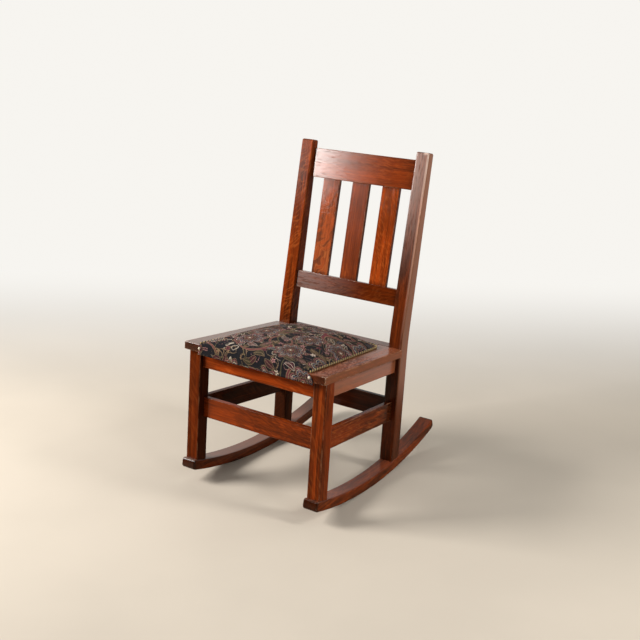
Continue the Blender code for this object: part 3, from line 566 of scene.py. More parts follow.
    # worn arrises, paler also as a painted highlight along them
    rubAndHighlightTint = oak[look["rubTo"]]
    if "rubAndHighlightLow" in look:    # a ruddier painted highlight lower down
        key, start, end = look["rubAndHighlightLow"]
        rubAndHighlightTint = w.blend(lengthwise.rise(start, end), oak[key], rubAndHighlightTint)
    colour = w.blend(wornAndHighlight * look["rubbed"], colour, rubAndHighlightTint)
    colour = w.blend(chips * look["chipped"], colour, oak["chip"])

    feed(colour, shader, "Base Color")
    rough = oak["roughness"] + look["rough"] - 0.03
    feed(lines * 0.06 + stain * 0.06 - fleck * 0.02 + wornAndHighlight * 0.1 + rough, shader, "Roughness")
    if "coat" in look:
        feed(varnish, shader, "Coat Weight")
    relief = lines * 0.6 - pores * 0.5 - streaks * 0.4
    feed(w.bump(relief, look["bumpy"], oak["bumpDepth"]), shader, "Normal")
    return material


crisp = {"weld": 0.00001, "angle": 50}


def smoothBoards():
    # shading only: join the corners of the triangles, keep edges over the angle crisp
    group = bpy.data.node_groups.new("boardShading", "GeometryNodeTree")
    for way in ("INPUT", "OUTPUT"):
        group.interface.new_socket("Geometry", in_out=way, socket_type="NodeSocketGeometry")
    add = group.nodes.new
    start, end = add("NodeGroupInput"), add("NodeGroupOutput")
    weld = add("GeometryNodeMergeByDistance")
    weld.inputs["Distance"].default_value = crisp["weld"]
    faces = add("GeometryNodeSetShadeSmooth")
    faces.domain = "FACE"
    edges = add("GeometryNodeSetShadeSmooth")
    edges.domain = "EDGE"
    edges.inputs["Shade Smooth"].default_value = False
    angle = add("GeometryNodeInputMeshEdgeAngle")
    sharp = add("FunctionNodeCompare")
    sharp.data_type = "FLOAT"
    sharp.operation = "GREATER_THAN"
    sharp.inputs["B"].default_value = math.radians(crisp["angle"])
    for a, b in ((start.outputs[0], weld.inputs["Geometry"]),
                 (weld.outputs[0], faces.inputs["Geometry"]),
                 (faces.outputs[0], edges.inputs["Geometry"]),
                 (edges.outputs[0], end.inputs[0]),
                 (angle.outputs["Unsigned Angle"], sharp.inputs["A"]),
                 (sharp.outputs[0], edges.inputs["Selection"])):
        group.links.new(a, b)
    return group


def dress(piece, material):
    piece.data.materials.clear()
    piece.data.materials.append(material)


shading = smoothBoards()
for seed, (name, look) in enumerate(boards.items()):
    node = nodes[name]
    dress(node, oakFinish(name, look, seed))
    node.modifiers.new("shading", "NODES").node_group = shading
    weigh = node.modifiers.new("flatFaces", "WEIGHTED_NORMAL")
    weigh.keep_sharp = True
    weigh.weight = 100
print("oak:", len(boards), "boards")

# Block wood and screws

plainWood = {
    "pale": (0.36, 0.22, 0.11),
    "deep": (0.24, 0.13, 0.055),
    "roughness": 0.7,
    "along": 30.0,
    "across": 260.0,
}
screwSteel = {"clean": (0.36, 0.35, 0.34), "dull": (0.16, 0.12, 0.09), "roughness": 0.42, "rust": 500.0}


def blockFinish():
    material, w, shader = newFinish("blockWood")
    x, y, z = w.place().parts()
    across = plainWood["across"]
    rings = w.noise(x * plainWood["along"], y * across, z * across, detail=3.0)
    feed(w.blend(rings.rise(0.35, 0.65), plainWood["pale"], plainWood["deep"]), shader, "Base Color")
    feed(plainWood["roughness"] + rings * 0.15, shader, "Roughness")
    feed(w.bump(rings, 0.2, 0.0005), shader, "Normal")
    return material


def screwFinish():
    material, w, shader = newFinish("screwSteel", Metallic=1.0)
    rust = w.noise(*[c * screwSteel["rust"] for c in w.place().parts()], detail=4.0)
    feed(w.blend(rust.rise(0.45, 0.7), screwSteel["clean"], screwSteel["dull"]), shader, "Base Color")
    feed(screwSteel["roughness"] + rust * 0.2, shader, "Roughness")
    return material


blockWood = blockFinish()
screwMetal = screwFinish()
for name, node in nodes.items():
    if name.startswith("corner_block"):
        dress(node, blockWood)
    if "screw" in name:
        dress(node, screwMetal)
print("blocks and screws dressed")

# Seat pad under its tapestry cover

pad = {
    "edge": 0.0028,          # inside the gimp's centre line
    "edgeLift": 0.0008,
    "crown": 0.0310,
    "frontCrown": 0.0215,
    "roll": 0.026,
    "apronLeft": 0.1735,
    "apronRight": 0.1875,
    "apronDrop": 0.0262,     # below the tops of the boards
    "proud": 0.0021,         # in front of the boards' ends
    "underside": 0.0054,
    "thin": 0.0020,          # least thickness where there is room for it
    "tuck": 0.994,           # width of the underside, of the top's
    "clear": 0.0003,         # off the boards
    "columns": 72,
    "bunched": 0.35,         # columns closer together at the sides, rows at the rear
    "rearBunched": 0.4,
    "apronRows": 7,
    "rollRows": 9,
    "crownRows": 66,
    "frames": 16,
    "limit": 0.005,
    "tackPitch": 0.024,
    "tackPull": 0.0012,
    "tackReach": 0.011,
    "lump": 0.0009,
    "lumpScale": 17,
}
padCloth = {
    "quality": 5,
    "mass": 0.3,
    "tension_stiffness": 12,
    "compression_stiffness": 12,
    "shear_stiffness": 6,
    "bending_stiffness": 1.0,
    "use_pressure": True,
    "uniform_pressure_force": 3.0,
    "vertex_group_mass": "tacked",
}


def seatBox(*names):
    # corners of some nodes in the seat's own frame
    back = seatPlace.inverted()
    return boxOf([back @ v.co for name in names for v in nodes[name].data.vertices])


gimpLow, gimpHigh = seatBox("gimp_cord")
gimp = {
    "radius": (gimpHigh.z - gimpLow.z) / 2,
    "front": gimpLow.y + 0.0020,
    "corner": 0.030,
    "taper": 0.0587,
    "strands": {              # colour, and how much of it is left in the dull threads
        "goldThread": ((0.600, 0.410, 0.160), 0.55),
        "blackThread": ((0.012, 0.010, 0.009), 0.6),
    },
    "strandRadius": 0.00165,
    "strandSides": 7,
    "twistRadius": 0.00135,
    "pitch": 0.0112,
    "step": 0.0011,
}
gimp["half"] = gimpHigh.x - gimp["radius"]
gimp["rear"] = gimpHigh.y - gimp["radius"]


def padHalf(y, inset):
    # half width of the pad at y, round at its rear corners
    straight = gimp["half"] - gimp["taper"] * y - inset
    radius = gimp["corner"] - inset
    past = y - (gimp["rear"] - gimp["corner"])
    if past <= 0:
        return straight
    return straight - radius + math.sqrt(max(radius ** 2 - past ** 2, 0.0))


def padRows():
    # rows from the bottom of the apron over the roll and the crown to the rear
    lift = pad["edgeLift"]
    rear = gimp["rear"] - pad["edge"]
    start = pad["roll"] - pad["proud"]
    crest = (start + rear) / 2
    even = [2 * k / pad["columns"] - 1 for k in range(pad["columns"] + 1)]
    across = [math.sin(math.pi / 2 * u) * pad["bunched"] + (1 - pad["bunched"]) * u for u in even]
    swell = [math.sqrt(max(1 - abs(u) ** 3, 0.0)) for u in across]
    rows = []

    def crossRow(y, rise):
        half = padHalf(y, pad["edge"])
        rows.append([(u * half, y, lift + rise * s) for u, s in zip(across, swell)])

    top = padHalf(0.0, pad["edge"])
    for k in range(pad["apronRows"]):
        part = k / pad["apronRows"]
        left = pad["apronLeft"] + (top - pad["apronLeft"]) * part
        right = pad["apronRight"] + (top - pad["apronRight"]) * part ** 3
        z = -pad["apronDrop"] + (pad["apronDrop"] + lift) * part
        rows.append([(u * (left if u < 0 else right), -pad["proud"], z) for u in across])
    for k in range(pad["rollRows"]):
        angle = math.pi / 2 * k / pad["rollRows"]
        crossRow(-pad["proud"] + pad["roll"] * (1 - math.cos(angle)), pad["frontCrown"] * math.sin(angle))
    for k in range(pad["crownRows"] + 1):
        part = k / pad["crownRows"]
        y = start + (rear - start) * (
            (1 - pad["rearBunched"]) * part + pad["rearBunched"] * math.sin(math.pi / 2 * part))
        if y < crest:
            climb = math.sin(math.pi / 2 * (y - start) / (crest - start))
            rise = pad["frontCrown"] + (pad["crown"] - pad["frontCrown"]) * climb
        else:
            rise = pad["crown"] * math.sqrt(max(1 - ((y - crest) / (rear - crest)) ** 4, 0.0))
        crossRow(y, rise)
    return rows


def padInner(rows):
    # the same rows on the underside: behind the apron and just over the hessian
    inner = []
    for row in rows:
        line = []
        for x, y, z in row:
            depth = min(pad["underside"], max(z - pad["thin"], pad["clear"])) if z > 0 else z
            line.append((x * pad["tuck"], max(y, -pad["clear"]), depth))
        inner.append(line)
    return inner


def gridFaces(bm, rows, flip):
    grid = [[bm.verts.new(seatPlace @ Vector(p)) for p in row] for row in rows]
    for a, b in zip(grid, grid[1:]):
        for k in range(len(a) - 1):
            quad = (a[k], a[k + 1], b[k + 1], b[k])
            bm.faces.new(quad[::-1] if flip else quad).smooth = True
    return grid


def rim(grid):
    rightSide = [row[-1] for row in grid[1:]]
    leftSide = [row[0] for row in reversed(grid[1:-1])]
    return grid[0] + rightSide + grid[-1][-2::-1] + leftSide


def buildPad():
    rows = padRows()
    bm = bmesh.new()
    outer = gridFaces(bm, rows, False)
    outerRim = rim(outer)
    innerRim = rim(gridFaces(bm, padInner(rows), True))
    for a, b, c, d in zip(outerRim, outerRim[1:] + outerRim[:1], innerRim, innerRim[1:] + innerRim[:1]):
        bm.faces.new((b, a, c, d)).smooth = True
    bm.verts.index_update()
    count = len(rows) * len(rows[0])
    apron = [v for row in outer[:pad["apronRows"]] for v in row]
    held = {v.index for v in outerRim + apron} | set(range(count, 2 * count))
    # cloth laid flat: across, and the way over the middle of the pad
    middle = pad["columns"] // 2
    runs = [0.0]
    for a, b in zip(rows, rows[1:]):
        runs.append(runs[-1] + (Vector(a[middle]) - Vector(b[middle])).length)
    flat = [(p[0], run, side) for side in (0.0, 1.0) for row, run in zip(rows, runs) for p in row]
    piece = newPiece("seatPad", bm)
    layFlat(piece, "clothFlat", [c for p in flat for c in p])
    return piece, held, count


def stuffPad(piece, held):
    # the stuffing presses the cover out between its tacks
    mesh = piece.data
    before = [v.co.copy() for v in mesh.vertices]
    piece.vertex_groups.new(name="tacked").add(sorted(held), 1.0, "REPLACE")
    cloth = piece.modifiers.new("stuffing", "CLOTH")
    for key, value in padCloth.items():
        setattr(cloth.settings, key, value)
    cloth.settings.effector_weights.gravity = 0.0
    cloth.point_cache.frame_end = pad["frames"]
    for frameNumber in range(1, pad["frames"] + 1):
        scene.frame_set(frameNumber)
    shape = piece.evaluated_get(bpy.context.evaluated_depsgraph_get()).data
    moved = [v.co.copy() for v in shape.vertices]
    piece.modifiers.clear()
    piece.vertex_groups.clear()
    scene.frame_set(1)
    most = 0.0
    for v, a, b in zip(mesh.vertices, before, moved):
        step = b - a
        far = step.length
        most = max(most, far)
        v.co = a + step * (min(far, pad["limit"]) / far if far > 0 else 0.0)
    print("pad: cloth moved up to", round(most * 1000, 1), "mm")


def tackPad(piece, count):
    # small pulls beside the gimp where the cover is tacked down
    up = seatPlace.to_3x3() @ upward
    back = seatPlace.inverted()

    def pulled(way, run):
        near = math.exp(-max(way, 0.0) / pad["tackReach"])
        return near * (0.5 + 0.5 * math.cos(2 * math.pi * run / pad["tackPitch"]))

    for v in piece.data.vertices[:count]:
        p = back @ v.co
        if p.z < 0.002:
            continue
        pull = pulled(padHalf(p.y, pad["edge"]) - abs(p.x), p.y)
        pull += pulled(gimp["rear"] - pad["edge"] - p.y, p.x)
        lump = noise.noise(Vector((p.x * pad["lumpScale"], p.y * pad["lumpScale"], 3.0))) * pad["lump"]
        v.co += up * (min(lump, pad["lump"]) - min(pull, 1.0) * min(pad["tackPull"], p.z * 0.2))


tapestry = {
    "thread": 0.0009,
    "ground": (0.0105, 0.0100, 0.0120),
    "wine": (0.150, 0.038, 0.046),
    "rose": (0.370, 0.175, 0.160),
    "tan": (0.300, 0.195, 0.105),
    "cream": (0.660, 0.550, 0.430),
    "olive": (0.120, 0.098, 0.045),
    "slate": (0.062, 0.078, 0.120),
    "dust": (0.12, 0.09, 0.07),
    "rosetteSize": 0.108,
    "leafSize": 0.043,
    "budSize": 0.027,
    "scroll": 13.0,          # scales of the lines that wander between them
    "curl": 27.0,
    "stem": 9.0,
    "tendril": 12.0,
    "stitch": 1250.0,
    "stitchShow": 0.8,
    "curlShow": 0.75,
}


def scatter(w, x, y, size, shift, jitter):
    # cells of about that size: place from the cell's middle, then three random numbers
    spot = w.point(x / size + shift, y / size + shift * 0.7, 0.0)
    cell = w.node("TexVoronoi", {"voronoi_dimensions": "2D", "feature": "F1"}, {
        "Vector": spot, "Scale": 1.0, "Randomness": jitter}, out="Position")
    away = w.node("VectorMath", {"operation": "SUBTRACT"}, {0: spot, 1: cell}).parts()
    return away[0], away[1], cell.sibling("Color").parts()


def tapestryFinish():
    t = tapestry
    material, w, shader = newFinish("tapestry", Roughness=0.92, **{"Specular IOR Level": 0.1})
    x, y, z = w.node("Attribute", {"attribute_name": "clothFlat"}, out="Vector").parts()
    fuzz = w.noise(x * 900.0, y * 900.0, 0.0, detail=1.0)
    px = x.calc("SNAP", x + (fuzz - 0.5) * 0.0007, t["thread"])
    py = y.calc("SNAP", y + (fuzz - 0.5) * 0.0007, t["thread"])

    # broken lines of stitches and outlined stems that wander over the ground
    colour = w.blend(fuzz.rise(0.55, 0.75) * 0.35, t["ground"], t["slate"])
    scroll = w.noise(px * t["scroll"], py * t["scroll"], 2.0, detail=1.0)
    nested = w.calc("PINGPONG", scroll * 8.0, 0.5)
    broken = (w.calc("SINE", px * t["stitch"]) + w.calc("SINE", py * t["stitch"])).rise(-0.3, 0.4)
    stitched = (1.0 - nested.rise(0.025, 0.06)) * broken
    stitchColour = w.blend(scroll.rise(0.46, 0.50), t["rose"], t["tan"])
    colour = w.blend(stitched * t["stitchShow"], colour, stitchColour)
    curl = w.noise(px * t["curl"], py * t["curl"], 6.0, detail=1.0)
    curled = (1.0 - w.calc("PINGPONG", curl * 5.0, 0.5).rise(0.03, 0.075)) * scroll.rise(0.44, 0.52)
    curlColour = w.blend(curl.rise(0.48, 0.54), t["tan"], t["cream"])
    colour = w.blend(curled * t["curlShow"], colour, curlColour)
    stem = abs(w.noise(px * t["stem"], py * t["stem"], 4.0, detail=0.0) - 0.5)
    colour = w.blend(1.0 - stem.rise(0.016, 0.020), colour, t["tan"])
    colour = w.blend(1.0 - stem.rise(0.011, 0.014), colour, t["wine"])
    tendril = abs(w.noise(px * t["tendril"], py * t["tendril"], 9.0, detail=0.0) - 0.45)
    colour = w.blend(1.0 - tendril.rise(0.005, 0.010), colour, t["olive"])

    # buds
    dx, dy, pick = scatter(w, px, py, t["budSize"], 3.3, 0.8)
    spread = w.calc("SQRT", dx * dx + dy * dy)
    turn = w.calc("ARCTAN2", dy, dx) + pick[0] * 6.3
    lobe = 0.22 + w.calc("COSINE", turn * 5.0) * 0.08
    shown = pick[1].rise(0.62, 0.64)
    budColour = pick[2].steps((0.0, t["rose"]), (0.35, t["cream"]), (0.50, t["wine"]), (0.75, t["tan"]))
    colour = w.blend((lobe - spread).rise(0.0, 0.03) * shown, colour, budColour)
    colour = w.blend((0.09 - spread).rise(0.0, 0.02) * shown, colour, t["ground"])

    # leaves, bent, outlined, hatched inside
    dx, dy, pick = scatter(w, px, py, t["leafSize"], 7.1, 0.9)
    angle = pick[0] * fullTurn
    c = w.calc("COSINE", angle)
    s = w.calc("SINE", angle)
    along = dx * c + dy * s
    aside = dy * c - dx * s + along * along * (pick[1] - 0.5) * 2.4
    width = (1.0 - along * along * 4.6) * 0.21
    inside = width - abs(aside)
    leafColour = pick[2].steps((0.0, t["olive"]), (0.22, t["rose"]), (0.42, t["slate"]), (0.56, t["wine"]),
                               (0.78, t["tan"]))
    leafEdge = w.blend(pick[1].rise(0.70, 0.72), t["tan"], t["cream"])
    colour = w.blend(inside.rise(-0.05, -0.03), colour, t["ground"])
    colour = w.blend(inside.rise(0.0, 0.010), colour, leafEdge)
    colour = w.blend(inside.rise(0.021, 0.029), colour, t["ground"])
    hatch = w.calc("SINE", along * 62.0 + abs(aside) * 66.0).rise(0.1, 0.6)
    colour = w.blend(inside.rise(0.045, 0.060) * hatch, colour, leafColour)
    colour = w.blend((0.014 - abs(aside)).rise(0.0, 0.008) * inside.rise(0.0, 0.02), colour, leafEdge)

    # rosettes: scalloped outlines one in another, a beaded ring and an eye
    dx, dy, pick = scatter(w, px, py, t["rosetteSize"], 1.9, 0.6)
    spread = w.calc("SQRT", dx * dx + dy * dy)
    ragged = w.noise(px * 30.0, py * 30.0, 1.0, detail=1.0)
    turn = w.calc("ARCTAN2", dy, dx) + pick[0] * 6.3 + ragged * 0.5
    count = w.calc("FLOOR", pick[2] * 2.99) + 2.5
    petal = abs(w.calc("COSINE", turn * count))
    q = spread / (0.28 + petal * 0.15)
    rings = q.steps(
        (0.0, t["cream"]), (0.07, t["ground"]), (0.12, t["tan"]), (0.16, t["wine"]), (0.24, t["ground"]),
        (0.30, t["tan"]), (0.335, t["ground"]), (0.42, t["rose"]), (0.48, t["ground"]), (0.56, t["tan"]),
        (0.59, t["slate"]), (0.67, t["ground"]), (0.73, t["cream"]), (0.76, t["ground"]), (0.84, t["rose"]),
        (0.87, t["wine"]), (0.92, t["ground"]), (0.96, t["tan"]), (0.99, t["ground"]))
    beads = w.calc("SINE", turn * 28.0).rise(-0.2, 0.3)
    rings = w.blend(beads * q.rise(0.39, 0.41) * (1.0 - q.rise(0.49, 0.51)), rings, t["ground"])
    ribs = 1.0 - abs(w.calc("SINE", turn * count)).rise(0.05, 0.12)
    ribColour = w.blend(pick[1].rise(0.5, 0.52), t["tan"], t["rose"])
    rings = w.blend(ribs * q.rise(0.48, 0.50) * (1.0 - q.rise(0.84, 0.86)), rings, ribColour)
    colour = w.blend((1.0 - q).rise(0.0, 0.03), colour, rings)

    # faded threads, and the plain underside
    fade = w.noise(x * 14.0, y * 14.0, 2.0, detail=3.0)
    thread = w.noise(x * 1700.0, y * 1700.0, 5.0, detail=0.0)
    colour = w.blend(fade.rise(0.45, 0.75) * 0.08, colour, t["dust"])
    colour = w.blend((thread - 0.40) * 0.9, colour, t["ground"])
    colour = w.blend(z.rise(0.1, 0.5), colour, t["ground"])
    feed(colour, shader, "Base Color")
    rate = fullTurn / t["thread"]
    rib = w.calc("SINE", x * rate) * w.calc("SINE", y * rate)
    feed(w.bump(rib * 0.5 + thread * 0.5, 0.35, 0.0004), shader, "Normal")
    return material


def threadFinish(name, colour, depth):
    material, w, shader = newFinish(name, Roughness=0.6)
    fine = w.noise(*[c * 2600.0 for c in w.place().parts()])
    dull = tuple(c * depth for c in colour)
    feed(w.blend(fine.rise(0.35, 0.65), dull, colour), shader, "Base Color")
    feed(w.bump(fine, 0.4, 0.0002), shader, "Normal")
    return material


seatPad, padHeld, padCount = buildPad()
stuffPad(seatPad, padHeld)
tackPad(seatPad, padCount)
dress(seatPad, tapestryFinish())
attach(seatPad, "root")
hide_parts("seat_cover", "seat_stuffing")
print("pad:", len(seatPad.data.polygons), "faces")

# Gimp round the cover


def gimpRoute():
    # centre line at board level: back on the right, across the rear, forward along the left
    half = []
    y = gimp["front"]
    bend = gimp["rear"] - gimp["corner"]
    while y < bend:
        half.append((padHalf(y, 0.0), y))
        y += gimp["step"]
    radius = gimp["corner"]
    centre = padHalf(bend, 0.0) - radius
    turns = round(radius * math.pi / 2 / gimp["step"])
    for k in range(turns + 1):
        angle = math.pi / 2 * k / turns
        half.append((centre + radius * math.cos(angle), bend + radius * math.sin(angle)))
    across = round(2 * centre / gimp["step"])
    rear = [(centre - 2 * centre * k / across, gimp["rear"]) for k in range(1, across)]
    return half + rear + [(-x, y) for x, y in reversed(half)]


def buildGimp():
    route = gimpRoute()
    level = gimp["twistRadius"] + gimp["strandRadius"]
    sides = gimp["strandSides"]
    bm = bmesh.new()
    for number in range(len(gimp["strands"])):
        rings = []
        run = 0.0
        for k, (x, y) in enumerate(route):
            before = route[max(k - 1, 0)]
            after = route[min(k + 1, len(route) - 1)]
            run += math.hypot(x - before[0], y - before[1])
            heading = Vector((after[0] - before[0], after[1] - before[1], 0.0)).normalized()
            aside = Vector((heading.y, -heading.x, 0.0))
            phase = 2 * math.pi * (run / gimp["pitch"] + number / len(gimp["strands"]))
            core = Vector((x, y, level)) + gimp["twistRadius"] * (
                aside * math.cos(phase) + upward * math.sin(phase))
            ring = []
            for side in range(sides):
                angle = 2 * math.pi * side / sides + phase
                spot = core + gimp["strandRadius"] * (aside * math.cos(angle) + upward * math.sin(angle))
                ring.append(bm.verts.new(seatPlace @ spot))
            rings.append(ring)
        for a, b in zip(rings, rings[1:]):
            for k in range(sides):
                face = bm.faces.new((a[k], b[k], b[k + 1 - sides], a[k + 1 - sides]))
                face.material_index = number
                face.smooth = True
        for ring in (rings[0], rings[-1][::-1]):
            bm.faces.new(ring).material_index = number
    bmesh.ops.recalc_face_normals(bm, faces=bm.faces)
    threads = [threadFinish(name, *strand) for name, strand in gimp["strands"].items()]
    piece = newPiece("gimpStrands", bm, *threads)
    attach(piece, "root")
    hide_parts("gimp_cord")


buildGimp()
print("gimp: twisted")

# Ivory nails at the front corners of the cover

ivory = {
    "pale": (0.72, 0.66, 0.54),
    "stain": (0.45, 0.37, 0.26),
    "radius": 0.0036,
    "height": 0.0027,
    "rim": (0.97, 1.12),      # behind the dome, of its radius and height
    "shank": (0.0011, 0.0009),
    "depth": 0.012,
    "sides": 28,
    "steps": 8,
}


def ivoryFinish():
    material, w, shader = newFinish("ivoryNail", Roughness=0.32)
    age = w.noise(*[c * 300.0 for c in w.place().parts()], detail=3.0)
    feed(w.blend(age.rise(0.45, 0.75), ivory["pale"], ivory["stain"]), shader, "Base Color")
    return material


def buildNail(node, material):
    low, high = seatBox(node)
    middle = (low + high) / 2
    sides = ivory["sides"]
    profile = []
    for k in range(1, ivory["steps"] + 1):
        angle = math.pi / 2 * k / ivory["steps"]
        profile.append((ivory["radius"] * math.sin(angle), ivory["height"] * (1 - math.cos(angle))))
    back = ivory["height"] * ivory["rim"][1]
    profile += [(ivory["radius"] * ivory["rim"][0], back), (ivory["shank"][0], back),
                (ivory["shank"][1], ivory["depth"])]
    front = -pad["proud"] - ivory["height"]
    bm = bmesh.new()
    rings = []
    for radius, depth in profile:
        ring = []
        for k in range(sides):
            angle = 2 * math.pi * k / sides
            ring.append(bm.verts.new(seatPlace @ Vector((
                middle.x + radius * math.cos(angle), front + depth, middle.z + radius * math.sin(angle)))))
        rings.append(ring)
    tip = bm.verts.new(seatPlace @ Vector((middle.x, front, middle.z)))
    for k in range(sides):
        bm.faces.new((tip, rings[0][k - 1], rings[0][k])).smooth = True
    for a, b in zip(rings, rings[1:]):
        for k in range(sides):
            bm.faces.new((a[k - 1], b[k - 1], b[k], a[k])).smooth = True
    bm.faces.new(rings[-1])
    bmesh.ops.recalc_face_normals(bm, faces=bm.faces)
    piece = newPiece(node + "Dome", bm, material)
    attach(piece, "root")
    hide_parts(node)


nailIvory = ivoryFinish()
for name in ("cover_nail_left", "cover_nail_right"):
    buildNail(name, nailIvory)
print("nails: two")

# Webbing and hessian, seen from below

webbing = {
    "jute": (0.330, 0.220, 0.110),
    "shade": (0.190, 0.120, 0.055),
    "stripe": (0.055, 0.030, 0.022),
    "stripeAt": 0.021,
    "stripeHalf": (0.0014, 0.0022),
    "pitch": 0.0030,
    "step": 0.003,
    "columns": 12,
    "thick": 0.0015,
    "softEdge": 0.45,      # of the thickness
    "onBoards": 0.0003,    # underside over the boards where nothing crosses
    "middle": 0.00195,     # height of a crossing, and how far the two straps part there
    "swing": 0.0009,
    "ease": 0.009,
}
hessianCloth = {
    "jute": (0.270, 0.185, 0.095),
    "shade": (0.130, 0.085, 0.040),
    "pitch": 0.0021,
    "step": 0.006,
    "corner": 0.050,
    "thick": 0.0007,
    "ripple": 0.00012,
    "rippleScale": 40,
}


def weaveFinish(name, look, flatName):
    material, w, shader = newFinish(name, Roughness=0.95, **{"Specular IOR Level": 0.2})
    x, y, _ = w.node("Attribute", {"attribute_name": flatName}, out="Vector").parts()
    rate = fullTurn / look["pitch"]
    wobble = w.noise(x * 160.0, y * 160.0, 1.0)
    over = w.calc("SINE", x * rate + wobble * 2.0) * w.calc("SINE", y * rate + wobble * 2.0)
    hair = w.noise(x * 900.0, y * 900.0, 6.0, detail=3.0)
    colour = w.blend((over * 0.5 + 0.5) * 0.6 + hair * 0.5, look["shade"], look["jute"])
    if "stripe" in look:
        line = 1.0 - abs(abs(x) - look["stripeAt"]).rise(*look["stripeHalf"])
        colour = w.blend(line * 0.85, colour, look["stripe"])
    feed(colour, shader, "Base Color")
    feed(w.bump(over * 0.7 + hair * 0.5, 0.6, 0.0006), shader, "Normal")
    return material


def strapHeights(low, high, axis, crossings, firstUp):
    # way along the strap and the height of its middle, over and under what it crosses
    rest = webbing["onBoards"] + webbing["thick"] / 2
    ease = webbing["ease"]
    steps = max(2, round((high[axis] - low[axis]) / webbing["step"]))
    run = []
    for k in range(steps + 1):
        s = low[axis] + (high[axis] - low[axis]) * k / steps
        level = rest
        for n, (a, b) in enumerate(crossings):
            sign = 1 if (n % 2 == 0) == firstUp else -1
            near = min(max((s - a + ease) / ease, 0.0), 1.0) * min(max((b + ease - s) / ease, 0.0), 1.0)
            climb = 3 * near ** 2 - 2 * near ** 3
            level += (webbing["middle"] + webbing["swing"] * sign - rest) * climb
        run.append((s, level))
    return run


def buildStrap(node, axis, crossings, firstUp, material):
    low, high = seatBox(node)
    side = 1 - axis
    half = (high[side] - low[side]) / 2
    centre = (high[side] + low[side]) / 2
    across = [(2 * k / webbing["columns"] - 1) * half for k in range(webbing["columns"] + 1)]
    loop = [(a, 0.5) for a in across] + [(a, -0.5) for a in reversed(across)]
    bm = bmesh.new()
    flat = []
    rings = []
    run = strapHeights(low, high, axis, crossings, firstUp)
    for s, level in run:
        ring = []
        for a, lift in loop:
            soft = webbing["softEdge"] if abs(a) > half * 0.99 else 1.0
            p = [0.0, 0.0, level + lift * webbing["thick"] * soft]
            p[axis], p[side] = s, centre + a
            ring.append(bm.verts.new(seatPlace @ Vector(p)))
            flat += [a, s, 0.0]
        rings.append(ring)
    for a, b in zip(rings, rings[1:]):
        for k in range(len(a)):
            bm.faces.new((a[k - 1], a[k], b[k], b[k - 1])).smooth = True
    bm.faces.new(rings[0])
    bm.faces.new(rings[-1])
    bmesh.ops.recalc_face_normals(bm, faces=bm.faces)
    piece = newPiece(node + "Strap", bm, material)
    layFlat(piece, "strapFlat", flat)
    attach(piece, "root")
    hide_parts(node)


def buildWebbing():
    material = weaveFinish("juteWebbing", webbing, "strapFlat")
    longs = [f"webbing_long_{k}" for k in (1, 2, 3)]
    crosses = [f"webbing_cross_{k}" for k in (1, 2, 3)]
    crossingY = [(seatBox(n)[0].y, seatBox(n)[1].y) for n in crosses]
    crossingX = [(seatBox(n)[0].x, seatBox(n)[1].x) for n in longs]
    for k, name in enumerate(longs):
        buildStrap(name, 1, crossingY, k % 2 == 0, material)
    for k, name in enumerate(crosses):
        buildStrap(name, 0, crossingX, k % 2 == 1, material)


def buildHessian():
    low, high = seatBox("hessian")
    corner = hessianCloth["corner"]
    scale = hessianCloth["rippleScale"]
    steps = round((high.y - low.y) / hessianCloth["step"])
    columns = round(2 * high.x / hessianCloth["step"])
    flat = []
    rows = []
    for k in range(steps + 1):
        y = low.y + (high.y - low.y) * k / steps
        half = high.x - gimp["taper"] * (y - low.y)
        past = y - (high.y - corner)
        if past > 0:
            half += math.sqrt(max(corner ** 2 - past ** 2, 0.0)) - corner
        line = []
        for j in range(columns + 1):
            x = half * (2 * j / columns - 1)
            ripple = noise.noise(Vector((x * scale, y * scale, 7.0))) * hessianCloth["ripple"]
            line.append((x, y, (low.z + high.z) / 2 + ripple))
            flat += [x, y, 0.0]
        rows.append(line)
    bm = bmesh.new()
    gridFaces(bm, rows, False)
    piece = newPiece("hessianCloth", bm, weaveFinish("openHessian", hessianCloth, "hessianFlat"))
    layFlat(piece, "hessianFlat", flat)
    solid = piece.modifiers.new("clothThickness", "SOLIDIFY")
    solid.thickness = hessianCloth["thick"]
    solid.offset = 0.0
    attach(piece, "root")
    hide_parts("hessian")


buildWebbing()
buildHessian()
print("webbing and hessian laid")

# Camera

shot = {
    "place": (1.5458, -2.2354, 1.2694),
    "azimuth": 34.57,
    "drop": 17.43,
    "roll": 1.22,
    "lens": 59.84,
    "sensor": 36.0,
}


def addCamera():
    lens = bpy.data.cameras.new("camera")
    lens.sensor_width = shot["sensor"]
    lens.lens = shot["lens"]
    camera = bpy.data.objects.new("camera", lens)
    scene.collection.objects.link(camera)
    camera.matrix_world = (Matrix.Translation(shot["place"])
                           @ Matrix.Rotation(math.radians(shot["azimuth"]), 4, "Z")
                           @ Matrix.Rotation(math.radians(90.0 - shot["drop"]), 4, "X")
                           @ Matrix.Rotation(math.radians(shot["roll"]), 4, "Z"))
    scene.camera = camera


addCamera()

# Floor and light

studio = {
    "floorSize": 60.0,
    "floor": (0.400, 0.320, 0.220),
    "floorSeen": (0.600, 0.535, 0.445),
    "mottled": 0.06,
    "mottleScale": 2.0,
    "far": (0.93, 0.91, 0.87),
    "farWay": (0.567, 0.823),
    "farStart": 0.25,
    "farEnd": 2.0,
    "roundStart": 1.5,
    "roundEnd": 2.8,
    "front": (0.035, 0.035, 0.035),    # the room's light, from the front to behind the chair
    "behind": (0.50, 0.50, 0.49),
    "roomWay": (0.3, 0.9),
    "roomBlend": (-0.15, 0.45),
    "mirrorStart": 0.45,
    "mirrorEnd": 0.75,
}

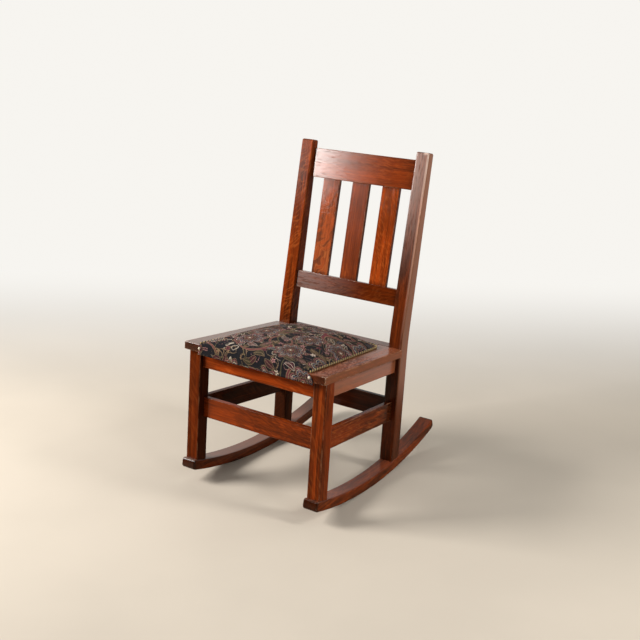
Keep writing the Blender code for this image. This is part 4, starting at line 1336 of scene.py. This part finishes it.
# place, what it points at, width and height, power in watts, colour
lamps = {
    "softbox": dict(place=(-1.943, -1.539, 1.680), aim=(0.0, 0.091, 1.680), size=(1.1, 1.25), power=136.0,
                    colour=(1.0, 0.97, 0.94)),
    "fill": dict(place=(2.3, 0.44, 2.0), aim=(0.0, 0.1, 0.45), size=(0.45, 1.0), power=34.0,
                 colour=(1.0, 0.98, 0.95)),
    "kicker": dict(place=(1.94, -0.83, 1.05), aim=(0.2, 0.15, 0.75), size=(0.5, 0.5), power=9.5,
                   colour=(1.0, 0.97, 0.95)),
    "ceiling": dict(place=(0.0, -0.3, 3.2), aim=(0.0, 0.0, 0.3), size=(2.0, 2.0), power=6.0,
                    colour=(1.0, 0.98, 0.96)),
}


def addFloor():
    material, w, shader = newFinish("paleFloor", Roughness=0.85)
    x, y, z = w.place().parts()
    mottle = w.noise(x * studio["mottleScale"], y * studio["mottleScale"], z, detail=5.0).rise(0.3, 0.7)
    path = w.node("LightPath", out="Is Camera Ray")
    mirrored = path.sibling("Is Glossy Ray").top(path.sibling("Is Transmission Ray"))
    plain = w.blend(path, studio["floor"], studio["floorSeen"])
    feed(w.blend(mottle * studio["mottled"], plain, (0.0, 0.0, 0.0)), shader, "Base Color")
    # far off the floor turns to a plain white ground for the eye, and close behind in reflections
    around = x.calc("SQRT", x * x + y * y).rise(studio["roundStart"], studio["roundEnd"])
    wayX, wayY = studio["farWay"]
    away = (y * wayY - x * wayX).rise(studio["farStart"], studio["farEnd"]).top(around)
    white = (away * path).top(y.rise(studio["mirrorStart"], studio["mirrorEnd"]) * mirrored)
    glow = w.node("Emission", None, {"Color": tint(studio["far"]), "Strength": 1.0})
    body = Wire(w.tree, shader.outputs[0])
    mixed = w.node("MixShader", None, {0: white, 1: body, 2: glow})
    feed(mixed, w.tree.nodes["Material Output"], "Surface")
    bm = bmesh.new()
    bmesh.ops.create_grid(bm, x_segments=1, y_segments=1, size=studio["floorSize"] / 2)
    newPiece("floor", bm, material)


def addLamps():
    for name, lamp in lamps.items():
        light = bpy.data.lights.new(name, "AREA")
        light.shape = "RECTANGLE"
        light.size, light.size_y = lamp["size"]
        light.energy = lamp["power"]
        light.color = lamp["colour"]
        holder = bpy.data.objects.new(name, light)
        scene.collection.objects.link(holder)
        holder.location = lamp["place"]
        aim = Vector(lamp["aim"]) - Vector(lamp["place"])
        holder.rotation_euler = aim.to_track_quat("-Z", "Y").to_euler()


def addWorld():
    world = bpy.data.worlds.new("studioWorld")
    world.use_nodes = True
    w = Wire(world.node_tree)
    x, y, _ = w.node("TexCoord", out="Generated").parts()
    wayX, wayY = studio["roomWay"]
    back = (y * wayY - x * wayX).rise(*studio["roomBlend"])
    room = w.blend(back, studio["front"], studio["behind"])
    room = w.blend(w.node("LightPath", out="Is Camera Ray"), room, studio["far"])
    feed(room, world.node_tree.nodes["Background"], "Color")
    scene.world = world


addFloor()
addLamps()
addWorld()
scene.view_settings.view_transform = "Standard"
print("camera, floor and light set")
